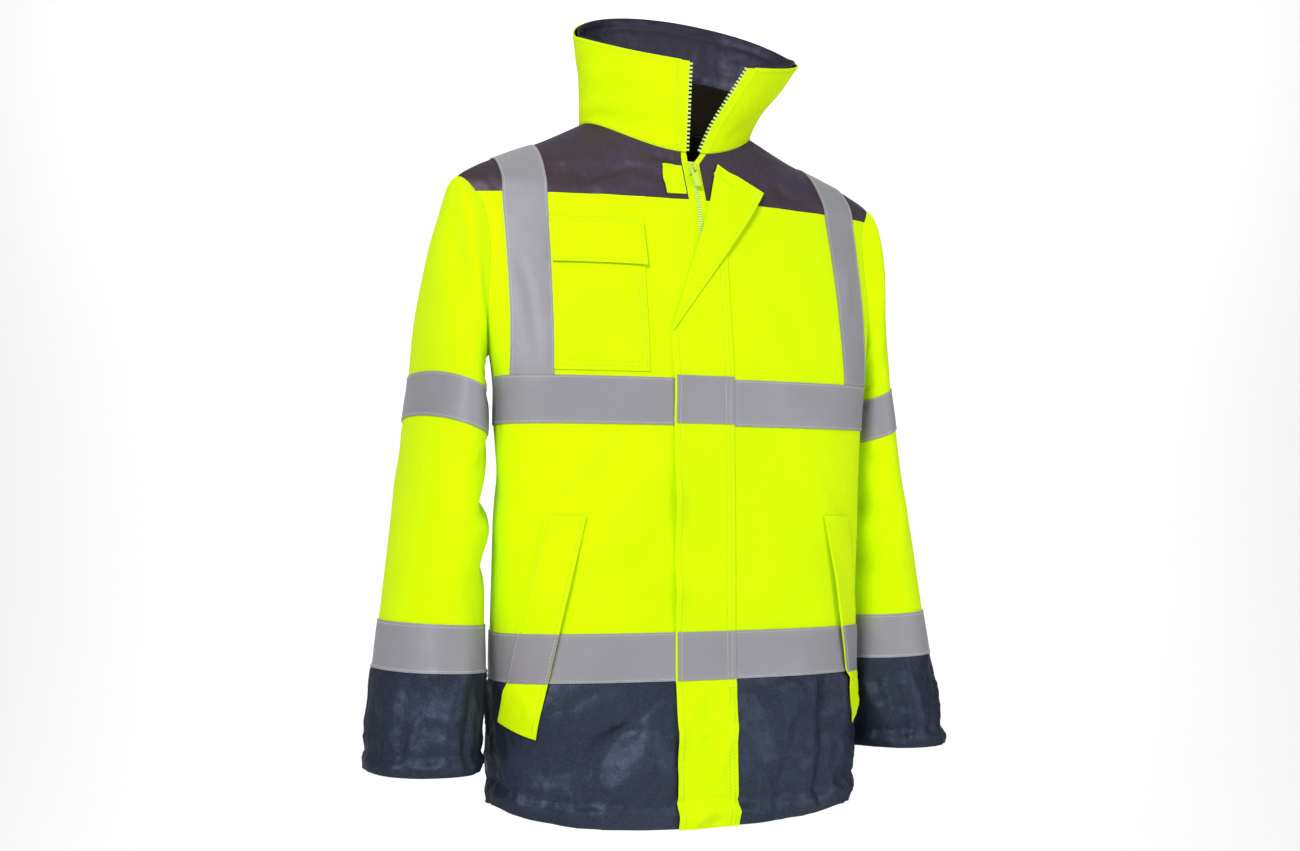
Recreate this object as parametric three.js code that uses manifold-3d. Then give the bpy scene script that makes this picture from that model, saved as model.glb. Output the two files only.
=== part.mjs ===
// High-visibility work jacket, filled out as if worn, hollow, with its zip closed up to the collar.
// Millimetres. +Z is up, the front faces -Y, and +X is the wearer's left.
// The origin is on the body's axis, at the height where the shoulders meet the neck.
import * as THREE from 'three';
import { mergeVertices } from 'three/addons/utils/BufferGeometryUtils.js';
import Module from 'manifold-3d';

const wasm = await Module();
wasm.setup();

// Cloth layers: each one is the surface of the garment moved out or in by these distances
const SEAM = 0.3;
const WALL = 3;
const TAPE = 1;
const PATCH = 1.6;
const PANEL_LAYER = { inner: -WALL, outer: 0 };
const TAPE_LAYER = { inner: SEAM, outer: SEAM + TAPE };
const FLAP_LAYER = { inner: SEAM, outer: SEAM + PATCH };
const UPPER_LAYER = { inner: FLAP_LAYER.outer + SEAM, outer: FLAP_LAYER.outer + SEAM + TAPE };
const WELT_LAYER = { inner: TAPE_LAYER.outer + SEAM, outer: TAPE_LAYER.outer + SEAM + PATCH };
const WELT_TAPE_LAYER = { inner: WELT_LAYER.outer + SEAM, outer: WELT_LAYER.outer + SEAM + TAPE };
const ZIP_LAYER = { inner: -2.4, outer: -0.6 };
const LINING_LAYER = { inner: -WALL - 2, outer: -WALL - SEAM };

// Heights of the seams and of the reflective bands
const YOKE_EDGE_Z = -89;
const CHEST_BAND = { top: -281, bottom: -330 };
const LOWER_BAND = { top: -544, bottom: -594 };
const HEM_SEAM_Z = LOWER_BAND.bottom + 4;
const LINING_BOTTOM_Z = -120;

// Zip and storm flap, as distances across the front
const ZIP_X = -4;
const ZIP_HALF_WIDTH = 10.5;
const CHAIN_HALF_WIDTH = 2.8;
// Above its slider the zip is open, and its left edge leans out
const ZIP_OPEN = { z: -47, topZ: 30, leftShift: 69 };
const FLAP = { freeX: -44, sewnX: 25 };
const FOLD = { topX: 28, topZ: -47, tipX: 78, tipZ: -77, lowX: -44, lowZ: -231 };

// A short table: the names of its columns, then its rows
const table = (columns, rows) => rows.map((row) => {
  return Object.fromEntries(columns.map((name, column) => [name, row[column]]));
});

// Torso: rings from the hem to the neck. Each has its own centre, with a depth and a roundness
// to the front and to the back, and its front and back may be lower or higher than its sides;
// the lower its rise, the sooner it leaves the height of its sides.
const TORSO_ROWS = table(
  ['z', 'frontZ', 'backZ', 'halfWidth', 'centreY', 'front', 'back', 'frontPower', 'backPower', 'rise'],
  [
    [-722, -745, -740, 208, -6, 100, 116, 2.4, 2.3, 1.1],
    [-664, -674, -668, 209, -10, 94, 120, 2.4, 2.3, 1.1],
    [-594, -594, -594, 210, -15, 86, 124, 2.4, 2.2, 2],
    [-544, -544, -544, 211, -18, 82, 124, 2.4, 2.2, 2],
    [-430, -430, -430, 212, -25, 74, 124, 2.5, 2.1, 2],
    [-330, -330, -330, 214, -33, 64, 126, 2.5, 2.1, 2],
    [-281, -281, -281, 217, -36, 61, 126, 2.5, 2, 2],
    [-240, -240, -240, 225, -30, 64, 122, 2.4, 1.9, 2],
    [-190, -190, -190, 238, -20, 68, 117, 2.1, 1.8, 2],
    [-140, -140, -140, 246, -12, 70, 110, 1.8, 1.7, 2],
    [-103, -103, -103, 251, -6, 70, 103, 1.6, 1.6, 2],
    [-76, -87, -78, 252, -2, 69, 97, 1.6, 1.6, 2],
    [-58, -76, -58, 228, 3, 70, 91, 1.6, 1.6, 2],
    [-41, -64, -37, 191, 8, 70, 84, 1.7, 1.7, 2],
    [-24, -50, -15, 149, 13, 69, 76, 1.8, 1.8, 2],
    [0, -35, 20, 100, 16, 66, 66, 2, 2, 2],
  ],
);

// Sleeve: rings from inside the armhole to the cuff, each from its outer point to its inner point
const SLEEVE_ROWS = table(
  ['outerX', 'outerZ', 'innerX', 'innerZ', 'halfDepth', 'centreY', 'power'],
  [
    [188, -103, 178, -222, 20, 0, 2],
    [226, -81, 203, -246, 34, 0, 2],
    [250, -72, 221, -266, 48, 3, 2],
    [260, -104, 221, -277, 60, 10, 2],
    [268, -153, 220, -285, 71, 24, 2.05],
    [273, -215, 217, -293, 80, 35, 2.1],
    [276, -274, 214, -300, 85, 39, 2.1],
    [283, -320, 213, -346, 87, 39, 2.1],
    [295, -392, 214, -410, 82, 32, 2.1],
    [308, -462, 215, -473, 76, 25, 2.1],
    [319, -531, 218, -536, 71, 19, 2.15],
    [326, -580, 219, -584, 72, 15, 2.2],
    [332, -632, 222, -634, 75, 13, 2.3],
    [337, -682, 226, -682, 77, 10, 2.3],
  ],
);
const SLEEVE_UPPER_BAND = { top: 6, bottom: 7 };
const SLEEVE_LOWER_BAND = { top: 10, bottom: 11 };

// Collar: round rings from the neck seam to the rim. Its opening is from rightX to leftX, and
// rise is how quickly a ring climbs from its sides towards its back.
const COLLAR_ROWS = table(
  ['z', 'frontZ', 'backZ', 'rise', 'centreX', 'centreY', 'halfWidth', 'front', 'back', 'rightX', 'leftX'],
  [
    [0.5, -34.5, 20.5, 2, 0, 16, 100, 66, 66, -7.1, 10.3],
    [30, -8, 56, 1.6, 6, 14, 107, 71, 70, -9, 20],
    [62, 22, 96, 1.3, 15, 12, 120, 79, 74, -12, 36],
    [92, 57, 142, 1.1, 24, 10, 134, 86, 78, -14, 57],
  ],
);

// Largest folds, each a soft ridge, or a trough where its height is below 0, between two points.
// Across is x on the front and the back, and y on the two sides.
const TORSO_FOLDS = table(
  ['view', 'fromAcross', 'fromZ', 'toAcross', 'toZ', 'width', 'height'],
  [
    ['front', -80, -622, -150, -690, 24, -6],
    ['front', -196, -612, -160, -668, 24, 5],
    ['front', -120, -712, -58, -690, 22, 5],
    ['front', 97, -600, 130, -690, 24, 5],
    ['front', -97, -345, -131, -408, 22, -3],
    ['front', -57, -468, -138, -512, 22, -3],
    ['front', 60, -350, 120, -430, 24, -3],
    ['back', -60, -120, -130, -260, 28, -5],
    ['back', 60, -130, 128, -270, 28, -5],
    ['back', 30, -350, 110, -470, 26, -4],
    ['back', -20, -340, -110, -450, 26, -4],
    ['back', 90, -612, 130, -700, 24, -5],
    ['back', -60, -605, -120, -690, 24, -5],
    ['back', 20, -640, -20, -735, 26, 5],
    ['left', 20, -345, -20, -420, 22, -4],
    ['left', 10, -605, -15, -715, 22, -4],
    ['right', 20, -345, -20, -415, 22, -4],
    ['right', 10, -600, -20, -710, 22, -4],
  ],
);

// Largest folds of a sleeve, by the turn round it in degrees, 0 on its outer side and 90 on its
// front, and by the ring of its table
const SLEEVE_FOLDS = table(
  ['fromTurn', 'fromRing', 'toTurn', 'toRing', 'width', 'height'],
  [
    [205, 7.4, 125, 8.2, 20, -6],
    [190, 7.9, 130, 8.7, 18, 3],
    [205, 8.4, 128, 9.2, 20, -5],
    [40, 3.2, 75, 5.2, 24, -3],
    [300, 3.2, 270, 5.2, 24, -3],
    [60, 11, 75, 13, 18, -4],
    [125, 11, 140, 13, 18, -4],
    [215, 11, 225, 13, 18, -4],
    [310, 11, 320, 13, 18, -4],
  ],
);
const COLLAR_SEGMENTS = 28;
const COLLAR_OUTER_LAYER = { inner: -2, outer: 0 };
const COLLAR_INNER_LAYER = { inner: -5, outer: -2 - SEAM };
const COLLAR_FACING_TOP = 1.55;
const COLLAR_STEPS = [0, 1, COLLAR_FACING_TOP, 2, 3];
const COLLAR_ZIP_SHARE = 0.013;

// Patches on the fronts, as corners across (x) and up (z); the wearer's left has the mirror image
const BRACE_ROWS = {
  top: { inner: 160, outer: 205 },
  yoke: { inner: 167, outer: 211 },
  low: { inner: 172, outer: 211 },
};
const CHEST_POCKET = { centreX: -72, topZ: -122, bottomZ: -275 };
const CHEST_POCKET_FLAP = { centreX: -70, topZ: -117, bottomZ: -164 };
const HOOK_TAB = { rightX: -38, leftX: -17, topZ: -52, bottomZ: -83 };

// Slanted pocket welts, as angles round the body from its side towards its front
const WELT = {
  topZ: -425,
  bottomZ: -650,
  bottomSlant: 16,
  topFrontAngle: 53.6,
  topBackAngle: 37.3,
  bottomFrontAngle: 31.4,
  bottomBackAngle: 8.9,
  steps: 10,
};

// Slider and pull tab, lying on the slope of the zip
const SLIDER = { z: -54, slope: 24, width: 10, length: 15, thickness: 3, lift: 0.3 };
const BRIDGE = { width: 2, length: 9, opening: 3, thickness: 1.4 };
const PULL = { width: 7.6, length: 25, thickness: 1.6, holeWidth: 3, holeLength: 7.5, rail: 1.6 };

const TORSO_SEGMENTS = 40;
const SLEEVE_SEGMENTS = 20;
const SLEEVE_SEAM_STEP = 10.9;
const SLEEVE_SEAM_GAP = 0.004;
const FAR = 600;
const DEGREES = Math.PI / 180;

const COLOURS = {
  yellow: new THREE.MeshStandardMaterial({ color: 0xdcff00, roughness: 0.75, metalness: 0 }),
  navy: new THREE.MeshStandardMaterial({ color: 0x303543, roughness: 0.6, metalness: 0 }),
  yoke: new THREE.MeshStandardMaterial({ color: 0x453c45, roughness: 0.5, metalness: 0 }),
  tape: new THREE.MeshStandardMaterial({ color: 0x98979c, roughness: 0.4, metalness: 0.2 }),
  lining: new THREE.MeshStandardMaterial({ color: 0x1d1c24, roughness: 0.8, metalness: 0 }),
  zip: new THREE.MeshStandardMaterial({ color: 0xc9e600, roughness: 0.5, metalness: 0 }),
};

const group = new THREE.Group();

// Smooth value of one column of a table, at a place between its rows
function columnAt(rows, name, place) {
  const last = rows.length - 1;
  const row = Math.min(Math.floor(place), last - 1);
  const t = place - row;
  const a = rows[Math.max(row - 1, 0)][name];
  const b = rows[row][name];
  const c = rows[row + 1][name];
  const d = rows[Math.min(row + 2, last)][name];
  const square = 2 * a - 5 * b + 4 * c - d;
  const cube = 3 * b - a - 3 * c + d;
  return (2 * b + (c - a) * t + square * t * t + cube * t * t * t) / 2;
}

function rowAt(rows, place) {
  const names = Object.keys(rows[0]);
  return Object.fromEntries(names.map((name) => [name, columnAt(rows, name, place)]));
}

function rounded(value, power) {
  return Math.sign(value) * Math.abs(value) ** (2 / power);
}

// A point of a ring round the body, at an angle from the wearer's left through the back
function ringPoint({ centreX = 0, frontPower = 2, backPower = 2, rise = 2, ...row }, angle) {
  const side = Math.cos(angle);
  const depth = Math.sin(angle);
  const power = depth < 0 ? frontPower : backPower;
  const x = centreX + row.halfWidth * rounded(side, power);
  const y = row.centreY + (depth < 0 ? row.front : row.back) * rounded(depth, power);
  const endZ = depth < 0 ? row.frontZ : row.backZ;
  return new THREE.Vector3(x, y, row.z + (endZ - row.z) * Math.abs(depth) ** rise);
}

function torsoForm(turn, place) {
  return ringPoint(rowAt(TORSO_ROWS, place), turn * 2 * Math.PI);
}

// The sleeve of the wearer's left
function sleeveForm(turn, place) {
  const row = rowAt(SLEEVE_ROWS, place);
  const side = rounded(Math.cos(-turn * 2 * Math.PI), row.power);
  const depth = rounded(Math.sin(-turn * 2 * Math.PI), row.power);
  const x = (row.outerX + row.innerX) / 2 + side * (row.outerX - row.innerX) / 2;
  const z = (row.outerZ + row.innerZ) / 2 + side * (row.outerZ - row.innerZ) / 2;
  return new THREE.Vector3(x, row.centreY + row.halfDepth * depth, z);
}

// The collar runs from its left edge, round the back, to its right edge
function collarPoint(share, place) {
  const row = rowAt(COLLAR_ROWS, place);
  const leftAngle = -Math.acos((row.leftX - row.centreX) / row.halfWidth);
  const rightAngle = 2 * Math.PI - Math.acos((row.rightX - row.centreX) / row.halfWidth);
  return ringPoint(row, leftAngle + (rightAngle - leftAngle) * share);
}

// From 0 to 1 while a value goes from 0 to 1
function smooth(value) {
  const share = Math.min(Math.max(value, 0), 1);
  return share * share * (3 - 2 * share);
}

// Height of a fold at a point: full along its line, and fading past its ends and to its sides
function foldHeight({ from, to, width, height }, point) {
  const line = to.clone().sub(from);
  const offset = point.clone().sub(from);
  const share = offset.dot(line) / line.lengthSq();
  const distance = offset.cross(line) / line.length();
  const fade = 0.25;
  const ends = smooth((share + fade) / (2 * fade)) * smooth((1 + fade - share) / (2 * fade));
  return height * ends * Math.exp(-((distance / width) ** 2));
}

function torsoFolds(point) {
  const turnOver = 30;
  const sideX = 185;
  const masks = {
    front: smooth(-point.y / turnOver),
    back: smooth(point.y / turnOver),
    left: smooth((point.x - sideX) / turnOver),
    right: smooth((-point.x - sideX) / turnOver),
  };
  return TORSO_FOLDS.reduce((sum, fold) => {
    const across = fold.view === 'front' || fold.view === 'back' ? point.x : point.y;
    const from = new THREE.Vector2(fold.fromAcross, fold.fromZ);
    const to = new THREE.Vector2(fold.toAcross, fold.toZ);
    return sum + masks[fold.view] * foldHeight({ ...fold, from, to }, new THREE.Vector2(across, point.z));
  }, 0);
}

function sleeveFolds(turn, place) {
  const degree = 1.17;
  const ring = 62;
  return SLEEVE_FOLDS.reduce((sum, fold) => {
    const middle = (fold.fromTurn + fold.toTurn) / 2;
    const across = ((turn * 360 - middle + 900) % 360) - 180;
    const from = new THREE.Vector2((fold.fromTurn - middle) * degree, fold.fromRing * ring);
    const to = new THREE.Vector2((fold.toTurn - middle) * degree, fold.toRing * ring);
    return sum + foldHeight({ ...fold, from, to }, new THREE.Vector2(across * degree, place * ring));
  }, 0);
}

function torsoPoint(turn, place) {
  const point = torsoForm(turn, place);
  return point.addScaledVector(normalAt(torsoForm, turn, place, TORSO_LAST), torsoFolds(point));
}

function sleevePoint(turn, place) {
  const normal = normalAt(sleeveForm, turn, place, SLEEVE_LAST);
  return sleeveForm(turn, place).addScaledVector(normal, sleeveFolds(turn, place));
}

function normalAt(surface, u, v, lastV) {
  const step = 0.002;
  const lowV = Math.max(v - step, 0);
  const highV = Math.min(v + step, lastV);
  const across = surface(u + step, v).sub(surface(u - step, v));
  const along = surface(u, highV).sub(surface(u, lowV));
  return across.cross(along).normalize();
}

// Grid of points of a surface, moved out by a distance
function offsetGrid(surface, turns, places, lastPlace, distance) {
  return places.map((v) => turns.map((u) => {
    return surface(u, v).addScaledVector(normalAt(surface, u, v, lastPlace), distance);
  }));
}

function geometryFrom(points, triangles) {
  const geometry = new THREE.BufferGeometry();
  const positions = points.flatMap((point) => [point.x, point.y, point.z]);
  geometry.setAttribute('position', new THREE.Float32BufferAttribute(positions, 3));
  geometry.setIndex(triangles.flat());
  return geometry;
}

// Closed wall between two offsets of a surface, either a tube or an open strip
function wallGeometry(surface, turns, places, lastPlace, layer, tube) {
  const outer = offsetGrid(surface, turns, places, lastPlace, layer.outer);
  const inner = offsetGrid(surface, turns, places, lastPlace, layer.inner);
  const columns = turns.length;
  const rows = places.length;
  const points = [...outer.flat(), ...inner.flat()];
  const at = (row, column, side) => side * rows * columns + row * columns + (column % columns);
  const triangles = [];
  const quad = (a, b, c, d) => triangles.push([a, b, c], [a, c, d]);
  const strips = tube ? columns : columns - 1;
  for (let i = 0; i < strips; i += 1) {
    for (let j = 0; j < rows - 1; j += 1) {
      quad(at(j, i, 0), at(j, i + 1, 0), at(j + 1, i + 1, 0), at(j + 1, i, 0));
      quad(at(j, i, 1), at(j + 1, i, 1), at(j + 1, i + 1, 1), at(j, i + 1, 1));
    }
    quad(at(0, i, 0), at(0, i, 1), at(0, i + 1, 1), at(0, i + 1, 0));
    quad(at(rows - 1, i, 0), at(rows - 1, i + 1, 0), at(rows - 1, i + 1, 1), at(rows - 1, i, 1));
  }
  for (let j = 0; j < rows - 1 && !tube; j += 1) {
    quad(at(j, 0, 0), at(j + 1, 0, 0), at(j + 1, 0, 1), at(j, 0, 1));
    quad(at(j, strips, 0), at(j, strips, 1), at(j + 1, strips, 1), at(j + 1, strips, 0));
  }
  return geometryFrom(points, triangles);
}

// Closed solid of all that a tube holds, out to an offset of its surface
function filledGeometry(surface, turns, places, lastPlace, distance) {
  const grid = offsetGrid(surface, turns, places, lastPlace, distance);
  const columns = turns.length;
  const rows = places.length;
  const points = grid.flat();
  const centres = [grid[0], grid[rows - 1]].map((ring) => {
    return ring.reduce((sum, point) => sum.add(point), new THREE.Vector3()).divideScalar(columns);
  });
  points.push(...centres);
  const triangles = [];
  for (let i = 0; i < columns; i += 1) {
    const next = (i + 1) % columns;
    for (let j = 0; j < rows - 1; j += 1) {
      const corner = j * columns;
      triangles.push([corner + i, corner + next, corner + columns + next]);
      triangles.push([corner + i, corner + columns + next, corner + columns + i]);
    }
    const top = (rows - 1) * columns;
    triangles.push([rows * columns, next, i]);
    triangles.push([rows * columns + 1, top + i, top + next]);
  }
  return geometryFrom(points, triangles);
}

function mirrored(geometry) {
  const copy = geometry.clone().scale(-1, 1, 1);
  const index = [...copy.index.array];
  for (let i = 0; i < index.length; i += 3) {
    [index[i + 1], index[i + 2]] = [index[i + 2], index[i + 1]];
  }
  copy.setIndex(index);
  return copy;
}

function solid(geometry) {
  const bare = geometry.clone();
  bare.deleteAttribute('normal');
  bare.deleteAttribute('uv');
  const merged = mergeVertices(bare, 1e-4);
  return new wasm.Manifold(new wasm.Mesh({
    numProp: 3,
    vertProperties: merged.attributes.position.array,
    triVerts: new Uint32Array(merged.index.array),
  }));
}

// The largest piece that a cut leaves
function largest(body) {
  return body.decompose().reduce((best, piece) => (piece.volume() > best.volume() ? piece : best));
}

function addMesh(name, geometry, material) {
  const mesh = new THREE.Mesh(geometry, material);
  mesh.name = name;
  group.add(mesh);
}

function addSolid(name, body, material) {
  const mesh = largest(body).getMesh();
  const geometry = new THREE.BufferGeometry();
  geometry.setAttribute('position', new THREE.BufferAttribute(mesh.vertProperties, 3));
  geometry.setIndex(new THREE.BufferAttribute(mesh.triVerts, 1));
  addMesh(name, geometry, material);
}

// Cutters: a box between limits, and an upright outline pushed from the middle to the front
function block({ x = [-FAR, FAR], y = [-FAR, FAR], z = [-2 * FAR, FAR] }) {
  const geometry = new THREE.BoxGeometry(x[1] - x[0], y[1] - y[0], z[1] - z[0]);
  geometry.translate((x[0] + x[1]) / 2, (y[0] + y[1]) / 2, (z[0] + z[1]) / 2);
  return solid(geometry);
}

function outline(corners, reach = { front: FAR, back: 0 }) {
  const shape = new THREE.Shape(corners.map(([x, z]) => new THREE.Vector2(x, z)));
  const depth = reach.front + reach.back;
  const geometry = new THREE.ExtrudeGeometry(shape, { depth, bevelEnabled: false });
  geometry.rotateX(Math.PI / 2);
  geometry.translate(0, reach.back, 0);
  return solid(geometry);
}

const mirrorCorners = (corners) => corners.map(([x, z]) => [-x, z]).reverse();
const steps = (count, from = 0, to = 1) => {
  return Array.from({ length: count + 1 }, (_, i) => from + (to - from) * i / count);
};
const TORSO_TURNS = steps(TORSO_SEGMENTS).slice(0, -1);
const TORSO_LAST = TORSO_ROWS.length - 1;
const HEM_PLACES = [0.5, 1.5];
const TORSO_PLACES = [...steps(TORSO_LAST, 0, TORSO_LAST), ...HEM_PLACES].sort((a, b) => a - b);
const SLEEVE_TURNS = steps(SLEEVE_SEGMENTS).slice(0, -1);
const SLEEVE_LAST = SLEEVE_ROWS.length - 1;
const ELBOW_PLACES = [7.5, 8.5];
const SLEEVE_PLACES = [...steps(SLEEVE_LAST, 0, SLEEVE_LAST), ...ELBOW_PLACES].sort((a, b) => a - b);

const sleeveFill = filledGeometry(sleevePoint, SLEEVE_TURNS, SLEEVE_PLACES, SLEEVE_LAST, SEAM);
const armholes = solid(sleeveFill).add(solid(mirrored(sleeveFill)));
const torsoFill = solid(filledGeometry(torsoPoint, TORSO_TURNS, TORSO_PLACES, TORSO_LAST, SEAM));

function torsoLayer(layer) {
  const tube = wallGeometry(torsoPoint, TORSO_TURNS, TORSO_PLACES, TORSO_LAST, layer, true);
  return solid(tube).subtract(armholes);
}

const HALF_GAP = SEAM / 2;
const FRONT_SIDE = [-FAR, -HALF_GAP];
const BACK_SIDE = [HALF_GAP, FAR];
const RIGHT_OF_ZIP = [-FAR, ZIP_X - ZIP_HALF_WIDTH];

// What lies between two distances across the front, on the leaning left side of the zip
function leaning(low, high) {
  return outline([
    [low, -FAR - FAR],
    [high, -FAR - FAR],
    [high, ZIP_OPEN.z],
    [high + ZIP_OPEN.leftShift, ZIP_OPEN.topZ],
    [low + ZIP_OPEN.leftShift, ZIP_OPEN.topZ],
    [low, ZIP_OPEN.z],
  ]);
}

// Fronts, back, yokes and hem bands, all cut from the torso's wall
function addPanels() {
  const wall = torsoLayer(PANEL_LAYER);
  const leftWall = wall.intersect(leaning(ZIP_X + ZIP_HALF_WIDTH, FAR));
  const bands = [
    { name: 'hem', z: [-2 * FAR, HEM_SEAM_Z - HALF_GAP], material: COLOURS.navy },
    { name: 'panel', z: [HEM_SEAM_Z + HALF_GAP, YOKE_EDGE_Z - HALF_GAP], material: COLOURS.yellow },
    { name: 'yoke', z: [YOKE_EDGE_Z + HALF_GAP, FAR], material: COLOURS.yoke },
  ];
  for (const { name, z, material } of bands) {
    addSolid(`${name}_front_right`, wall.intersect(block({ x: RIGHT_OF_ZIP, y: FRONT_SIDE, z })), material);
    addSolid(`${name}_front_left`, leftWall.intersect(block({ y: FRONT_SIDE, z })), material);
    addSolid(`${name}_back`, wall.intersect(block({ y: BACK_SIDE, z })), material);
  }
}

// Reflective bands round the torso, and the braces over the shoulders
function addTorsoTapes() {
  const layer = torsoLayer(TAPE_LAYER);
  for (const [name, band] of [['chest_band', CHEST_BAND], ['lower_band', LOWER_BAND]]) {
    const z = [band.bottom, band.top];
    const rightX = [-FAR, FLAP.freeX - SEAM];
    const leftX = [FLAP.sewnX + SEAM, FAR];
    addSolid(`${name}_right`, layer.intersect(block({ x: rightX, y: FRONT_SIDE, z })), COLOURS.tape);
    addSolid(`${name}_left`, layer.intersect(block({ x: leftX, y: FRONT_SIDE, z })), COLOURS.tape);
    addSolid(`${name}_back`, layer.intersect(block({ y: BACK_SIDE, z })), COLOURS.tape);
  }
  const foot = CHEST_BAND.top + SEAM;
  const left = [
    [BRACE_ROWS.low.inner, foot],
    [BRACE_ROWS.low.outer, foot],
    [BRACE_ROWS.yoke.outer, YOKE_EDGE_Z],
    [BRACE_ROWS.top.outer, 0],
    [BRACE_ROWS.top.inner, 0],
    [BRACE_ROWS.yoke.inner, YOKE_EDGE_Z],
  ];
  const through = { front: FAR, back: FAR };
  addSolid('brace_left', layer.intersect(outline(left, through)), COLOURS.tape);
  addSolid('brace_right', layer.intersect(outline(mirrorCorners(left), through)), COLOURS.tape);
}

// Storm flap with its top corner folded over, and its own two pieces of tape
function addStormFlap() {
  const low = torsoLayer(FLAP_LAYER);
  const high = torsoLayer(UPPER_LAYER);
  const foldZ = (x) => FOLD.lowZ + (FOLD.topZ - FOLD.lowZ) * (x - FOLD.lowX) / (FOLD.topX - FOLD.lowX);
  const flap = low.intersect(outline([
    [FLAP.freeX, -FAR - FAR],
    [FLAP.sewnX, -FAR - FAR],
    [FLAP.sewnX, foldZ(FLAP.sewnX)],
    [FOLD.lowX, FOLD.lowZ],
  ]));
  const corner = high.intersect(outline([
    [FOLD.lowX, FOLD.lowZ],
    [FOLD.tipX, FOLD.tipZ],
    [FOLD.topX, FOLD.topZ],
  ]));
  const bendWidth = 1.5;
  const inset = 0.1;
  const bendLayer = { inner: FLAP_LAYER.inner + inset, outer: UPPER_LAYER.outer - inset };
  const bend = torsoLayer(bendLayer).intersect(outline([
    [FOLD.lowX + inset, FOLD.lowZ],
    [FOLD.lowX + bendWidth, FOLD.lowZ],
    [FLAP.sewnX - inset, foldZ(FLAP.sewnX - bendWidth)],
    [FLAP.sewnX - bendWidth, foldZ(FLAP.sewnX - bendWidth)],
  ]));
  addSolid('storm_flap', flap.add(bend).add(corner), COLOURS.yellow);
  for (const [name, band] of [['flap_tape_chest', CHEST_BAND], ['flap_tape_lower', LOWER_BAND]]) {
    const cut = block({ x: [FLAP.freeX, FLAP.sewnX], y: FRONT_SIDE, z: [band.bottom, band.top] });
    addSolid(name, high.intersect(cut), COLOURS.tape);
  }
}

// Chest pocket of the wearer's right with its flap, and the small tab on the yoke
function addChestPocket() {
  const low = torsoLayer(FLAP_LAYER);
  const high = torsoLayer(UPPER_LAYER);
  const sideX = (z) => {
    const share = (z - CHEST_BAND.top) / (YOKE_EDGE_Z - CHEST_BAND.top);
    return -(BRACE_ROWS.low.inner + (BRACE_ROWS.yoke.inner - BRACE_ROWS.low.inner) * share) + SEAM;
  };
  const patch = ({ centreX, topZ, bottomZ }) => outline([
    [sideX(bottomZ), bottomZ],
    [centreX, bottomZ],
    [centreX, topZ],
    [sideX(topZ), topZ],
  ]);
  addSolid('chest_pocket', low.intersect(patch(CHEST_POCKET)), COLOURS.yellow);
  addSolid('chest_pocket_flap', high.intersect(patch(CHEST_POCKET_FLAP)), COLOURS.yellow);
  const tab = outline([
    [HOOK_TAB.rightX, HOOK_TAB.bottomZ],
    [HOOK_TAB.leftX, HOOK_TAB.bottomZ],
    [HOOK_TAB.leftX, HOOK_TAB.topZ],
    [HOOK_TAB.rightX, HOOK_TAB.topZ],
  ]);
  addSolid('hook_tab', low.intersect(tab), COLOURS.yellow);
}

// Place on the torso's table that reaches a height at an angle
function placeAtHeight(turn, z) {
  let low = 0;
  let high = TORSO_LAST;
  for (let i = 0; i < 40; i += 1) {
    const middle = (low + high) / 2;
    if (torsoForm(turn, middle).z < z) low = middle;
    else high = middle;
  }
  return (low + high) / 2;
}

// A welt runs down and back; its cutter is a thick strip of the torso's own surface
function weltPoint(share, climb) {
  const endZ = WELT.bottomZ + WELT.bottomSlant * share;
  const z = endZ + (WELT.topZ - endZ) * climb;
  const front = WELT.bottomFrontAngle + (WELT.topFrontAngle - WELT.bottomFrontAngle) * climb;
  const back = WELT.bottomBackAngle + (WELT.topBackAngle - WELT.bottomBackAngle) * climb;
  const turn = 1 - (front + (back - front) * share) / 360;
  return torsoPoint(turn, placeAtHeight(turn, z));
}

function addWelts() {
  const thick = { inner: -20, outer: 20 };
  const leftStrip = wallGeometry(weltPoint, steps(3), steps(WELT.steps), 1, thick, false);
  const welts = torsoLayer(WELT_LAYER);
  const tapes = torsoLayer(WELT_TAPE_LAYER);
  const band = block({ z: [LOWER_BAND.bottom, LOWER_BAND.top] });
  for (const [side, strip] of [['left', solid(leftStrip)], ['right', solid(mirrored(leftStrip))]]) {
    addSolid(`welt_${side}`, welts.intersect(strip), COLOURS.yellow);
    addSolid(`welt_tape_${side}`, tapes.intersect(strip).intersect(band), COLOURS.tape);
  }
}

// Sleeves, cuffs and the two bands on each sleeve
function addSleeves() {
  const upperEnd = SLEEVE_SEAM_STEP - SLEEVE_SEAM_GAP;
  const cuffStart = SLEEVE_SEAM_STEP + SLEEVE_SEAM_GAP;
  const upperPlaces = [...SLEEVE_PLACES.filter((place) => place < upperEnd), upperEnd];
  const cuffPlaces = [cuffStart, ...SLEEVE_PLACES.filter((place) => place > cuffStart)];
  const wall = (places, layer) => wallGeometry(sleevePoint, SLEEVE_TURNS, places, SLEEVE_LAST, layer, true);
  const upper = wall(upperPlaces, PANEL_LAYER);
  const cuff = wall(cuffPlaces, PANEL_LAYER);
  const upperTape = wall([SLEEVE_UPPER_BAND.top, SLEEVE_UPPER_BAND.bottom], TAPE_LAYER);
  const lowerTape = wall([SLEEVE_LOWER_BAND.top, SLEEVE_SEAM_STEP, SLEEVE_LOWER_BAND.bottom], TAPE_LAYER);
  const sides = [['left', (geometry) => geometry], ['right', mirrored]];
  for (const [side, turn] of sides) {
    addSolid(`sleeve_${side}`, solid(turn(upper)).subtract(torsoFill), COLOURS.yellow);
    addSolid(`cuff_${side}`, solid(turn(cuff)), COLOURS.navy);
    addSolid(`sleeve_band_upper_${side}`, solid(turn(upperTape)), COLOURS.tape);
    addSolid(`sleeve_band_lower_${side}`, solid(turn(lowerTape)), COLOURS.tape);
  }
}

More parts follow.
